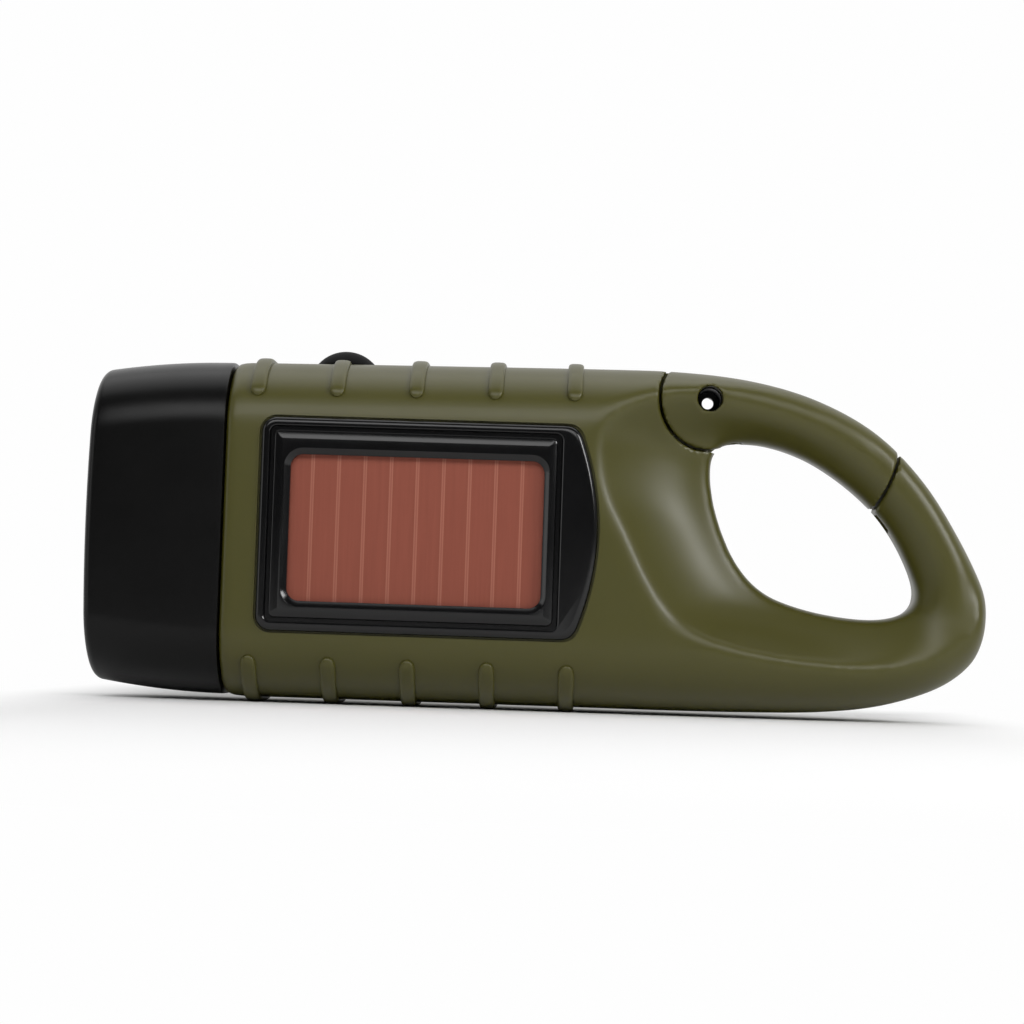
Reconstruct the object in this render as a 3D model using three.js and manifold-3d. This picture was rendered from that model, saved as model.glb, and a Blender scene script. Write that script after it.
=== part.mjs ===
// Hand crank flashlight with a solar panel on one side, a folding crank on the other and a carabiner tail.
// Millimetres, +Z up. The lamp looks along -X, the solar panel faces -Y, the crank is on the +Y side.
// The two body shells meet on a middle plane; the part rests on its five lower ribs at z = 0.
import * as THREE from "three";
import { mergeVertices } from "three/addons/utils/BufferGeometryUtils.js";
import Module from "manifold-3d";

const wasm = await Module();
wasm.setup();

// General
const bodyLength = 138;
const bodyHeight = 52.6;
const bodyHalfDepth = 16.5;
const wall = 2.2;
const gap = 0.3;
const overrun = 1;
const overlap = 0.5;
const searchSteps = 20;
const roundSides = 16;
const fineSides = 24;
const finestSides = 32;

// Body section: elliptic corners between the flat faces
const cornerRise = bodyHeight * 0.2;
const cornerDepth = 12.5;
const cornerSteps = 5;
const cornerShareMost = 0.97;

// Head
const headLength = 20.3;
const headStep = 0.3;
const headTaper = 1.8;
const headEdge = 1;
const headWall = 2;
const headLip = 1.2;
const headFrame = 3.2;
const headSteps = 4;
const spigotLength = 5;
const spigotWall = 1.5;

// Ribs
const ribCount = 5;
const ribWidth = 2.4;
const ribProud = 0.7;
const firstRibFromSeam = 4.7;
const lastRibShare = 0.0304;
const topRibDrop = 5.9;
const bottomRibClimb = 6.4;

// Button
const buttonRadius = 4.75;
const buttonDome = 2;
const buttonTravel = 1.2;
const buttonFlange = 1.1;
const buttonFlangeDepth = 1;
const dishSphere = 20;
const dishDepth = 0.9;

// Shell screws
const screwHead = 2.2;
const screwHeadDepth = 1.6;
const screwShank = 1.1;
const screwBoss = 2.4;
const bossWall = 0.8;
const screwBite = 6;
const screwDrive = 0.7;
const screwDriveShare = 0.7;
const screwDriveDepth = 0.8;
const screwFromSeam = 5.2;
// Places of the screws behind the crank and in the tail, with each head's seat as a share of bodyHalfDepth
const screwShares = [[0.032, 0.139, 0.55], [0.032, 0.861, 0.55], [0.455, 0.215, 0.28]];
// Heights and seats of the two screws by the seam
const seamScrewShares = [[0.128, 0.55], [0.868, 0.55]];

// Solar panel
const frameFromSeam = 5.7;
// Right, bottom and top of the frame in the shares of the outline
const frameShares = [0.0601, 0.1958, 0.8118];
const frameBow = 3.4;
const frameArcSteps = 8;
const frameCorner = 2.3;
const frameProud = 0.8;
const frameSunk = 0.6;
const frameRim = 1.1;
const frameGroove = 1.3;
const frameGrooveDepth = 0.5;
const frameDee = 5.5;
const plateauProud = 0.3;
const windowLeftInset = 4.6;
const windowRightInset = 8.3;
const windowLowInset = 4.6;
const windowTopInset = 5.6;
const windowCorner = 1.8;
const cellMargin = 1.2;
const cellThick = 0.7;

// Carabiner ring
const ringWallHalf = 6;

// Gate
const pivotReach = 7.7;
const gateReach = 30.5;
const seam = 0.35;
const sweepSides = 60;
const pivotSides = 28;
const pinRadius = 1.45;
const pinBore = 1.05;
const pinHalf = 8.6;
const tongueHalf = 2.4;
const tongueReach = 3.6;
const tongueRootShare = 0.9;
const springWire = 0.4;
const springTurns = 3;
const springPitch = 0.6;
const springSteps = 8;

// Points from the seam to the tail's end, as shares of bodyLength from the middle and of bodyHeight from
// the bottom: top x, top z, bottom x, bottom z
const seamShare = headLength / bodyLength - 0.5;
const outlineShares = [
  [seamShare, 0.987, seamShare, 0.0],
  [-0.145, 0.994, -0.145, 0.0],
  [0.058, 1.0, 0.058, 0.0],
  [0.152, 0.998, 0.152, 0.0],
  [0.232, 0.977, 0.232, 0.002],
  [0.304, 0.926, 0.304, 0.008],
  [0.370, 0.835, 0.366, 0.025],
  [0.424, 0.698, 0.417, 0.059],
  [0.465, 0.538, 0.457, 0.105],
  [0.491, 0.409, 0.485, 0.169],
  [0.4985, 0.350, 0.4965, 0.240],
];
// Half depth at each row, as shares of bodyHalfDepth
const depthShares = [1, 1, 1, 0.98, 0.93, 0.87, 0.8, 0.72, 0.62, 0.48, 0.3];

// Points round the ring's opening, with the rim of the scoop that surrounds it, in the same shares:
// opening x, opening z, rim x, rim z, rim height as a share of bodyHalfDepth, and how hollow the scoop is
// there, 1 for hollow and 0 for rounded
const scoopShares = [
  [0.186, 0.745, 0.067, 0.838, 1.0, 1],
  [0.186, 0.677, 0.057, 0.738, 1.0, 1],
  [0.191, 0.603, 0.065, 0.624, 1.0, 1],
  [0.202, 0.517, 0.087, 0.510, 1.0, 1],
  [0.220, 0.428, 0.114, 0.367, 1.0, 1],
  [0.248, 0.356, 0.149, 0.257, 0.97, 1],
  [0.285, 0.317, 0.214, 0.200, 0.88, 0.9],
  [0.326, 0.295, 0.304, 0.165, 0.78, 0.6],
  [0.373, 0.287, 0.384, 0.162, 0.67, 0.3],
  [0.406, 0.310, 0.449, 0.205, 0.58, 0],
  [0.418, 0.354, 0.471, 0.319, 0.52, 0],
  [0.412, 0.416, 0.478, 0.471, 0.49, 0],
  [0.394, 0.513, 0.451, 0.605, 0.49, 0],
  [0.370, 0.599, 0.417, 0.719, 0.50, 0],
  [0.335, 0.679, 0.371, 0.831, 0.52, 0],
  [0.293, 0.747, 0.319, 0.911, 0.55, 0],
  [0.249, 0.785, 0.257, 0.964, 0.60, 0],
  [0.212, 0.789, 0.196, 0.992, 0.70, 0.1],
  [0.191, 0.770, 0.127, 0.975, 0.90, 0.5],
];
const pivotShares = [0.180, 0.913];
// Region that the gate takes up to its far end: pivot, above it, above the tail, then under the gate
const gateShares = [
  [0.180, 0.913], [0.180, 1.1], [0.52, 1.1], [0.435, 0.575], [0.355, 0.575], [0.203, 0.715],
];
// Pocket for the latch in the hook: low x, high x, low z, high z
const latchShares = [0.36, 0.3905, 0.535, 0.600];
const latchHalf = 2;
const straightRows = 3;
const tailSteps = 2;
const scoopSteps = 4;
const scoopRound = 2;
const roofRise = 4;
const hollowPower = 1.7;
const hollowReachShare = 0.15;
const roundReachShare = 0.6;

// Places that follow from the sizes above
const bottomZ = ribProud;
const middleZ = bottomZ + bodyHeight / 2;
const seamX = -bodyLength / 2 + headLength;
const frontX = -bodyLength / 2;
const along = (share) => bodyLength * share;
const upward = (share) => bottomZ + bodyHeight * share;
const pivotX = along(pivotShares[0]);
const pivotZ = upward(pivotShares[1]);
const ribPitch = (along(lastRibShare) - seamX - firstRibFromSeam) / (ribCount - 1);
const frameLeft = seamX + frameFromSeam;
const frameRight = along(frameShares[0]);
const frameLow = upward(frameShares[1]);
const frameTop = upward(frameShares[2]);
const windowLeft = frameLeft + windowLeftInset;
const windowRight = frameRight - windowRightInset;
const windowLow = frameLow + windowLowInset;
const windowTop = frameTop - windowTopInset;

// Lamp
const lensThick = 1.5;
const gasketThick = 0.8;
const gasketWidth = 1.6;
const bowlCount = 3;
const bowlPitch = bodyHeight * 0.2624;
const bowlRadius = bowlPitch * 0.45;
const bowlBackRadius = 3.4;
const bowlDepth = 8.8;
const bowlWall = 0.6;
const flangeThick = 1.2;
const diodeRadius = 2.4;
const diodeLength = 7.4;
const lampBoardHalfDepth = 7;
const lampBoardHalfHeight = bowlPitch + 4.7;
const boardThick = 1.2;

// Switch
const flangeRadius = buttonRadius + buttonFlange;
const plungerRadius = 1.5;
const plungerSunk = 1.2;
const switchWide = 6.2;
const switchHigh = 3.5;
const switchBoardHalf = 5;
const shelfThick = 1.2;
const shelfHalf = 2;

// Gear train, from the crank to the rotor
// Room for each millimetre of module: of the body's height, and between the crank and the seam
const heightPerModule = 87.7;
const lengthPerModule = 67.8;
const gearFace = 2.4;
const gearLayerGap = 0.5;
const backlash = 0.06;
const pressureDegrees = 25;
const addendumShare = 0.8;
const dedendumShare = 1.05;
const driveTeeth = 40;
const pinionTeeth = 10;
const firstTeeth = 34;
const secondTeeth = 30;
const firstTurnDegrees = 190;
const secondTurnDegrees = 215;
const rotorTurnDegrees = 100;
const axleRadius = 0.8;
const pinionCore = 1.9;
const plateThick = 1.2;
const postRadius = 1.6;
const plateFromSeam = 3.7;
const plateReach = 12.5;
const plateLowShare = 0.188;
const plateChamfer = 4.5;
const postInset = 2.3;
const rightPostRise = 0.3;
const lowPostRise = 1.6;
const lowPostShare = 0.36;

// Generator
const cupPerModule = 15;
const cupWall = 0.4;
const cupLength = 7.8;
const coilThick = 2.5;
const magnetGap = 0.7;
const magnetLength = 5.6;
const magnetDrop = 1;

// Crank
const crankShare = -0.058;
const shaftRadius = 2;
const armGap = 0.5;
const armThick = 5.2;
const armHalfWidth = 7.4;
const armShort = 8.7;
const armTipReach = 4.6;
const armTipCorner = 3.5;
const armRoundSteps = 16;
const armWindowHalf = 4.4;
const armWindowEnd = 12.4;
const armWindowTip = 3;
const armScrewHead = 3.1;
const armScrewDepth = 0.9;
const capThick = 0.6;
const foldHeight = 4.1;
const hingePinRadius = 0.8;
const eyeRadius = 2.3;
const eyeHalf = 2.2;
const stemRadius = 1.4;
const knobStart = 3;
const knobEnd = 2.4;
const knobRadius = 3.6;
const knobWaist = 3;
const knobEdge = 0.6;
const stemHead = 2.4;
const stemHeadThick = 0.8;

// Electronics
const boardFromSeam = 8.7;
const boardReach = 6;
const boardLowShare = 0.186;
const boardDrop = 1.3;
const cellDisc = 10;
const cellDiscThick = 3.2;
const cellCount = 2;
const holderWall = 1;
const batteryInset = 9;
const batteryRise = 8.8;
const capacitorRadius = 3.2;
const capacitorLength = 7;
const capacitorDrop = 4.7;
const capacitorReach = 13;
const leadRadius = 0.6;
const leadCount = 2;
const leadPitch = 3;
const leadFromMiddle = 4;
const leadRise = 3.4;
const leadLanding = 4;

// Materials
const finish = (color, roughness, metalness) => new THREE.MeshStandardMaterial({ color, roughness, metalness });
const oliveCase = finish(0x464526, 0.45, 0);
const blackCase = finish(0x151515, 0.4, 0);
const clearPlastic = finish(0xdfe8ea, 0.1, 0);
const chrome = finish(0xd8d8d8, 0.15, 1);
const cellRed = finish(0x884d3d, 0.35, 0);
const steel = finish(0xb8bcc0, 0.35, 1);
const brass = finish(0xc9a24a, 0.35, 1);
const nylon = finish(0xe9e4d6, 0.5, 0);
const copper = finish(0xb5652b, 0.4, 1);
const board = finish(0x2b6a3c, 0.6, 0);
const rubber = finish(0x1d1d1d, 0.8, 0);
const magnetGrey = finish(0x55585c, 0.5, 1);

const inner = new THREE.Group();

// A closed geometry becomes a solid that can be joined and cut
function solid(geometry) {
  const bare = geometry.clone();
  bare.deleteAttribute("normal");
  bare.deleteAttribute("uv");
  const merged = mergeVertices(bare);
  const vertProperties = new Float32Array(merged.attributes.position.array);
  const triVerts = new Uint32Array(merged.index.array);
  return new wasm.Manifold(new wasm.Mesh({ numProp: 3, vertProperties, triVerts }));
}

function geometryOf(shape) {
  const mesh = shape.getMesh();
  const geometry = new THREE.BufferGeometry();
  geometry.setAttribute("position", new THREE.BufferAttribute(new Float32Array(mesh.vertProperties), 3));
  geometry.setIndex(Array.from(mesh.triVerts));
  return geometry;
}

function add(name, shape, material, parent = inner) {
  const geometry = shape.isBufferGeometry ? shape : geometryOf(shape);
  const mesh = new THREE.Mesh(geometry, material);
  mesh.name = name;
  parent.add(mesh);
  return mesh;
}

function block(x0, x1, y0, y1, z0, z1) {
  const geometry = new THREE.BoxGeometry(x1 - x0, y1 - y0, z1 - z0);
  geometry.translate((x0 + x1) / 2, (y0 + y1) / 2, (z0 + z1) / 2);
  return solid(geometry);
}

// A round bar along Y
function barY(x, z, radius, y0, y1, sides = roundSides) {
  const geometry = new THREE.CylinderGeometry(radius, radius, y1 - y0, sides);
  geometry.translate(x, (y0 + y1) / 2, z);
  return solid(geometry);
}

// A round bar along Z
function barZ(x, y, radius, z0, z1, sides = roundSides) {
  const geometry = new THREE.CylinderGeometry(radius, radius, z1 - z0, sides);
  geometry.rotateX(Math.PI / 2);
  geometry.translate(x, y, (z0 + z1) / 2);
  return solid(geometry);
}

// A round bar along X
function barX(y, z, radius, x0, x1, sides = roundSides) {
  const geometry = new THREE.CylinderGeometry(radius, radius, x1 - x0, sides);
  geometry.rotateZ(Math.PI / 2);
  geometry.translate((x0 + x1) / 2, y, z);
  return solid(geometry);
}

// A flat outline of x, z points carried from y0 to y1
function prismY(points, y0, y1) {
  const shape = new THREE.Shape(points.map(([x, z]) => new THREE.Vector2(x, z)));
  const geometry = new THREE.ExtrudeGeometry(shape, { depth: y1 - y0, bevelEnabled: false });
  geometry.rotateX(Math.PI / 2);
  geometry.translate(0, y1, 0);
  return solid(geometry);
}

// Rings of equally many points, joined in order and closed at both ends
function loft(rings) {
  const count = rings[0].length;
  const positions = rings.flat().flatMap((point) => [point.x, point.y, point.z]);
  const index = [];
  for (let i = 0; i + 1 < rings.length; i += 1) {
    for (let j = 0; j < count; j += 1) {
      const a = i * count + j;
      const b = i * count + ((j + 1) % count);
      index.push(a, b, b + count, a, b + count, a + count);
    }
  }
  for (const [ring, turn] of [[rings[0], false], [rings[rings.length - 1], true]]) {
    const centre = ring.reduce((sum, point) => sum.add(point), new THREE.Vector3()).divideScalar(count);
    const hub = positions.length / 3;
    positions.push(centre.x, centre.y, centre.z);
    const start = turn ? (rings.length - 1) * count : 0;
    for (let j = 0; j < count; j += 1) {
      const a = start + j;
      const b = start + ((j + 1) % count);
      index.push(...(turn ? [hub, a, b] : [hub, b, a]));
    }
  }
  const geometry = new THREE.BufferGeometry();
  geometry.setAttribute("position", new THREE.BufferAttribute(new Float32Array(positions), 3));
  geometry.setIndex(index);
  return solid(geometry);
}

// The outer shape's outline curves: top edge with the half depth beside it, and bottom edge
const outlineTop = new THREE.CatmullRomCurve3(outlineShares.map(
  ([x, z], row) => new THREE.Vector3(along(x), bodyHalfDepth * depthShares[row], upward(z)),
));
const outlineBottom = new THREE.CatmullRomCurve3(outlineShares.map(
  ([, , x, z]) => new THREE.Vector3(along(x), 0, upward(z)),
));

// One section of the body: flat sides joined by elliptic corners, drawn in or swollen by an inset
function sectionRing(top, low, halfDepth, inset = 0) {
  const halfHeight = (top.z - low.z) / 2;
  const rise = Math.min(cornerRise, halfHeight * cornerShareMost);
  const depth = cornerDepth * (halfDepth / bodyHalfDepth);
  const points = [];
  for (let quarter = 0; quarter < 4; quarter += 1) {
    const sideY = quarter === 0 || quarter === 3 ? 1 : -1;
    const sideZ = quarter < 2 ? 1 : -1;
    for (let step = 0; step <= cornerSteps; step += 1) {
      const turn = (quarter + step / cornerSteps) * (Math.PI / 2);
      const y = sideY * (halfDepth - depth) + (depth - inset) * Math.cos(turn);
      const z = sideZ * (halfHeight - rise) + (rise - inset) * Math.sin(turn);
      const lift = (z + halfHeight) / (2 * halfHeight);
      points.push(new THREE.Vector3(low.x + (top.x - low.x) * lift, y, low.z + z + halfHeight));
    }
  }
  return points;
}

// The outer shape of body and tail in one piece, from row first to row last
function bodyBlank(inset, first, last) {
  const rows = outlineShares.length - 1;
  const rings = [];
  for (let row = first; row <= last; row += 1) {
    const steps = row >= straightRows && row < last ? tailSteps : 1;
    for (let step = 0; step < steps; step += 1) {
      const t = (row + step / steps) / rows;
      const top = outlineTop.getPoint(t);
      rings.push(sectionRing(top, outlineBottom.getPoint(t), top.y, inset));
    }
  }
  return loft(rings);
}

// The tool that opens the ring and hollows the scoop round it on both sides
function scoopCutter() {
  const opening = new THREE.CatmullRomCurve3(scoopShares.map(
    ([x, z]) => new THREE.Vector3(along(x), 0, upward(z)),
  ), true);
  const rim = new THREE.CatmullRomCurve3(scoopShares.map(
    ([, , x, z, height]) => new THREE.Vector3(along(x), bodyHalfDepth * height, upward(z)),
  ), true);
  const count = scoopShares.length * scoopRound;
  const hollowAt = (j) => {
    const row = Math.floor(j / scoopRound);
    const part = (j % scoopRound) / scoopRound;
    const next = (row + 1) % scoopShares.length;
    return scoopShares[row][5] * (1 - part) + scoopShares[next][5] * part;
  };
  const ringAt = (place) => Array.from({ length: count }, (_, j) => {
    const t = j / count;
    return place(opening.getPoint(t), rim.getPoint(t), hollowAt(j));
  });
  const slope = (side, from, to, hollow, reach) => {
    const rounded = ringWallHalf + (to.y - ringWallHalf) * Math.sin(Math.min(reach, 1) * (Math.PI / 2));
    const hollowed = ringWallHalf + (to.y - ringWallHalf) * reach ** hollowPower;
    const y = side * (rounded * (1 - hollow) + hollowed * hollow);
    return new THREE.Vector3(from.x + (to.x - from.x) * reach, y, from.z + (to.z - from.z) * reach);
  };
  const beyond = (hollow) => 1 + hollowReachShare + roundReachShare * (1 - hollow);
  const sideRings = (side) => {
    const rings = [];
    for (let step = 0; step <= scoopSteps; step += 1) {
      rings.push(ringAt((from, to, hollow) => slope(side, from, to, hollow, step / scoopSteps)));
    }
    rings.push(ringAt((from, to, hollow) => slope(side, from, to, hollow, beyond(hollow))));
    rings.push(ringAt((from, to, hollow) => {
      const last = slope(side, from, to, hollow, beyond(hollow));
      return new THREE.Vector3(last.x, side * (bodyHalfDepth + roofRise), last.z);
    }));
    return rings;
  };
  return loft([...sideRings(1).reverse(), ...sideRings(-1)]);
}

const bodyTop = outlineTop.getPoint(2 / (outlineShares.length - 1)).z;
const buttonX = seamX + firstRibFromSeam + ribPitch;

// Height of the top edge at x, found by halving
function topAt(x) {
  let low = 0;
  let high = 1;
  for (let step = 0; step < searchSteps; step += 1) {
    const middle = (low + high) / 2;
    if (outlineTop.getPoint(middle).x < x) {
      low = middle;
    } else {
      high = middle;
    }
  }
  return outlineTop.getPoint(low).z;
}

const buttonTop = topAt(buttonX);
const shellInner = bodyHalfDepth - wall;

// A round-cornered rectangle as x, z points
function roundedRectangle(x0, x1, z0, z1, radius, steps = 4) {
  const points = [];
  const corners = [[x1, z1, 0], [x0, z1, 1], [x0, z0, 2], [x1, z0, 3]];
  for (const [x, z, quarter] of corners) {
    const centreX = x + (x === x1 ? -radius : radius);
    const centreZ = z + (z === z1 ? -radius : radius);
    for (let step = 0; step <= steps; step += 1) {
      const turn = (quarter + step / steps) * (Math.PI / 2);
      points.push([centreX + radius * Math.cos(turn), centreZ + radius * Math.sin(turn)]);
    }
  }
  return points;
}

// Ribs that wrap both edges of the body, as a swollen copy of the body kept only where a rib stands
function ribs() {
  let slabs = null;
  for (let rib = 0; rib < ribCount; rib += 1) {
    const x = seamX + firstRibFromSeam + rib * ribPitch;
    const upper = block(
      x - ribWidth / 2, x + ribWidth / 2, -bodyHalfDepth, bodyHalfDepth,
      bodyTop - topRibDrop, bodyTop + roofRise,
    );
    const lower = block(
      x - ribWidth / 2, x + ribWidth / 2, -bodyHalfDepth, bodyHalfDepth, -roofRise, bottomZ + bottomRibClimb,
    );
    slabs = slabs ? slabs.add(upper).add(lower) : upper.add(lower);
  }
  return bodyBlank(-ribProud, 0, straightRows).intersect(slabs);
}

// The head's outer shape: share 0 at the seam, 1 at the front
function headRing(share, inset) {
  const x = seamX + (frontX - seamX) * share;
  const halfHeight = bodyHeight / 2 - headStep - headTaper * share ** 2;
  const halfDepth = bodyHalfDepth - headStep - headTaper * share ** 2;
  const top = new THREE.Vector3(x, 0, middleZ + halfHeight);
  const low = new THREE.Vector3(x, 0, middleZ - halfHeight);
  return sectionRing(top, low, halfDepth, inset);
}

function headLoft(from, to, inset, frontInset = inset) {
  const rings = [];
  for (let step = headSteps; step >= 0; step -= 1) {
    rings.push(headRing(from + (to - from) * (step / headSteps), step === headSteps ? frontInset : inset));
  }
  return loft(rings);
}

const headShare = (length) => length / headLength;

// A flat outline of x, z points with its right side bowed outwards and its corners rounded
function frameOutline(inset) {
  const low = frameLow + inset;
  const high = frameTop - inset;
  const right = frameRight - inset;
  const corner = frameCorner - inset;
  const left = frameLeft + inset;
  const half = (high - low) / 2;
  const points = [];
  for (let step = 0; step <= frameArcSteps; step += 1) {
    const share = (step / frameArcSteps) * 2 - 1;
    points.push([right - frameBow * share ** 2, low + half + (half - frameCorner / 2) * share]);
  }
  points.push([right - frameBow - frameCorner / 2, high]);
  for (const [centreZ, quarter] of [[high - corner, 1], [low + corner, 2]]) {
    for (let step = 0; step <= cornerSteps; step += 1) {
      const turn = (quarter + step / cornerSteps) * (Math.PI / 2);
      points.push([left + corner + corner * Math.cos(turn), centreZ + corner * Math.sin(turn)]);
    }
  }
  points.push([right - frameBow - frameCorner / 2, low]);
  return points;
}

const windowPoints = (grow) => roundedRectangle(
  windowLeft - grow, windowRight + grow, windowLow - grow, windowTop + grow, windowCorner + grow,
);

// Everything that both shells are cut from
function shellStock() {
  const row = (index, x) => {
    const t = index / (outlineShares.length - 1);
    const top = outlineTop.getPoint(t);
    const low = outlineBottom.getPoint(t);
    return sectionRing(
      new THREE.Vector3(x, 0, top.z), new THREE.Vector3(x, 0, low.z), bodyHalfDepth, wall,
    );
  };
  const cavity = loft([
    row(0, seamX - overrun), row(1, along(outlineShares[1][0])), row(2, along(outlineShares[2][0])),
  ]);
  const spigotShare = headShare(spigotLength);
  const spigotOut = headLoft(-headShare(wall), spigotShare, headWall + gap);
  const spigotIn = headLoft(
    -headShare(wall + overrun), spigotShare + headShare(overrun), headWall + gap + spigotWall,
  );
  let stock = bodyBlank(0, 0, outlineShares.length - 1).add(ribs()).subtract(scoopCutter());
  stock = stock.subtract(cavity).add(spigotOut.subtract(spigotIn));
  const dish = new THREE.SphereGeometry(dishSphere, 20, 12);
  dish.translate(buttonX, 0, buttonTop - dishDepth + dishSphere);
  const [latchLeft, latchRight, latchLow, latchTop] = latchShares;
  const latch = block(
    along(latchLeft), along(latchRight), -latchHalf, latchHalf, upward(latchLow), upward(latchTop),
  );
  return stock
    .subtract(solid(dish))
    .subtract(latch)
    .subtract(barZ(buttonX, 0, buttonRadius + gap, middleZ, bodyTop + roofRise));
}

// The space of the gate, drawn in or grown by a clearance
function gateSpace(grow) {
  const deep = bodyHalfDepth + overrun;
  const wedge = prismY(gateShares.map(([x, z]) => [along(x), upward(z)]), -deep, deep);
  const sweep = barY(pivotX, pivotZ, gateReach + grow, -deep, deep, sweepSides).intersect(wedge);
  return sweep.add(barY(pivotX, pivotZ, pivotReach + grow, -deep, deep, pivotSides));
}

const stock = shellStock();
const pinHole = barY(pivotX, pivotZ, pinRadius + gap, -bodyHalfDepth, bodyHalfDepth);

function tongue() {
  const root = block(
    pivotX - pivotReach - overlap, pivotX, -tongueHalf, tongueHalf,
    pivotZ - tongueReach * tongueRootShare, pivotZ,
  );
  return barY(pivotX, pivotZ, tongueReach, -tongueHalf, tongueHalf, fineSides)
    .add(root)
    .subtract(barY(pivotX, pivotZ, tongueReach + overrun, 0, tongueHalf + overrun, fineSides)
      .intersect(block(
        pivotX - tongueReach, pivotX + tongueReach + overrun, 0, tongueHalf + overrun,
        pivotZ - tongueReach - overrun, pivotZ + tongueReach + overrun,
      )))
    .subtract(pinHole);
}

function gate() {
  const slotHalf = tongueHalf + gap;
  const slot = barY(pivotX, pivotZ, tongueReach + gap, -slotHalf, slotHalf, fineSides)
    .add(block(
      pivotX - pivotReach - overrun, pivotX + tongueReach, -slotHalf, slotHalf,
      pivotZ - pivotReach - overrun * 2, pivotZ,
    ));
  return stock.intersect(gateSpace(-seam / 2)).subtract(slot).subtract(pinHole);
}

// A coil spring round the gate's pin
function gateSpring() {
  const radius = pinRadius + gap + springWire;
  const points = [];
  const steps = springTurns * springSteps;
  for (let step = 0; step <= steps; step += 1) {
    const turn = (step / springSteps) * Math.PI * 2;
    const y = gap + springWire / 2 + (step / steps) * (springTurns * springPitch);
    points.push(new THREE.Vector3(pivotX + radius * Math.cos(turn), y, pivotZ + radius * Math.sin(turn)));
  }
  const wire = new THREE.Shape();
  wire.absarc(0, 0, springWire / 2, 0, Math.PI * 2);
  const geometry = new THREE.ExtrudeGeometry(wire, {
    steps, curveSegments: 3, bevelEnabled: false, extrudePath: new THREE.CatmullRomCurve3(points),
  });
  return solid(geometry);
}

const screwPlaces = [
  ...seamScrewShares.map(([z, seat]) => [seamX + screwFromSeam, upward(z), bodyHalfDepth * seat]),
  ...screwShares.map(([x, z, seat]) => [along(x), upward(z), bodyHalfDepth * seat]),
];
const crankX = along(crankShare);
const crankZ = middleZ;

function shells() {
  const tall = bodyHeight * 2;
  const half = (low, high) => block(-bodyLength, bodyLength, low, high, -tall, tall);
  const cut = stock.subtract(gateSpace(seam / 2)).add(tongue());
  let solar = cut.intersect(half(-bodyHalfDepth * 2, 0));
  let crank = cut.intersect(half(0, bodyHalfDepth * 2));
  for (const [x, z, seat] of screwPlaces) {
    const inTail = x > along(outlineShares[2][0]) + screwBoss;
    if (!inTail) {
      solar = solar.add(barY(x, z, screwBoss, -shellInner - overlap, 0));
      crank = crank.add(barY(x, z, screwHead + gap + bossWall, 0, shellInner + overlap));
    }
    crank = crank.subtract(barY(x, z, screwShank + gap, -overrun, seat + overlap));
    crank = crank.subtract(barY(x, z, screwHead + gap, seat, bodyHalfDepth + overrun));
    solar = solar.subtract(barY(x, z, screwShank + gap, -screwBite - gap, overrun));
  }
  solar = solar.add(switchShelf(-1));
  crank = crank.add(switchShelf(1));
  const face = -bodyHalfDepth;
  solar = solar
    .subtract(prismY(frameOutline(-gap), face - overrun, face + frameSunk))
    .subtract(prismY(windowPoints(cellMargin + gap), face - overrun, face + frameSunk + cellThick));
  crank = crank.subtract(barY(crankX, crankZ, shaftRadius + gap, 0, bodyHalfDepth + overrun));
  add("solar_side_shell", solar, oliveCase);
  add("crank_side_shell", crank, oliveCase);
  screwPlaces.forEach(([x, z, seat], index) => {
    const screw = barY(x, z, screwShank, -screwBite, seat + overlap)
      .add(barY(x, z, screwHead, seat, seat + screwHeadDepth))
      .subtract(block(
        x - screwHead * screwDriveShare, x + screwHead * screwDriveShare,
        seat + screwHeadDepth - screwDriveDepth, seat + screwHeadDepth + overrun,
        z - screwDrive / 2, z + screwDrive / 2,
      ))
      .subtract(block(
        x - screwDrive / 2, x + screwDrive / 2,
        seat + screwHeadDepth - screwDriveDepth, seat + screwHeadDepth + overrun,
        z - screwHead * screwDriveShare, z + screwHead * screwDriveShare,
      ));
    add(`shell_screw_${index + 1}`, screw, steel);
  });
}

function solarPanel() {
  const face = -bodyHalfDepth;
  const seat = face + frameSunk;
  const plateauLeft = frameLeft + frameRim + frameGroove;
  const plateauRight = frameRight - frameDee - frameGroove;
  const groove = roundedRectangle(
    frameLeft + frameRim, frameRight - frameDee, frameLow + frameRim, frameTop - frameRim,
    frameCorner - frameRim,
  );
  const plateau = roundedRectangle(
    plateauLeft, plateauRight,
    frameLow + frameRim + frameGroove, frameTop - frameRim - frameGroove, windowCorner,
  );
  const frame = prismY(frameOutline(0), face - frameProud, seat)
    .subtract(prismY(groove, face - frameProud - overrun, face - frameProud + frameGrooveDepth))
    .add(prismY(plateau, face - frameProud - plateauProud, seat))
    .subtract(prismY(windowPoints(0), face - frameProud - plateauProud - overrun, seat + overrun));
  add("solar_frame", frame, blackCase);
  add("solar_cell", prismY(windowPoints(cellMargin), seat, seat + cellThick), cellRed);
}

function carabinerGate() {
  add("gate_lever", gate(), oliveCase);
  const pin = barY(pivotX, pivotZ, pinRadius, -pinHalf, pinHalf)
    .subtract(barY(pivotX, pivotZ, pinBore, -pinHalf - overrun, pinHalf + overrun));
  add("gate_pin", pin, blackCase);
  add("gate_spring", gateSpring(), steel);
}

// Shelves inside the shells that carry the switch's board: side is 1 for the crank side, -1 for the solar side
const flangeLow = buttonTop - wall - gap - buttonFlangeDepth;
const switchTop = flangeLow - buttonTravel - gap;
const switchBoardTop = switchTop - switchHigh;
const shelfTop = switchBoardTop - boardThick - gap;

function switchShelf(side) {
  const near = side * (switchBoardHalf - shelfHalf);
  const far = side * (shellInner + overlap);
  return block(
    buttonX - shelfHalf, buttonX + shelfHalf, Math.min(near, far), Math.max(near, far),
    shelfTop - shelfThick, shelfTop,
  );
}

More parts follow.
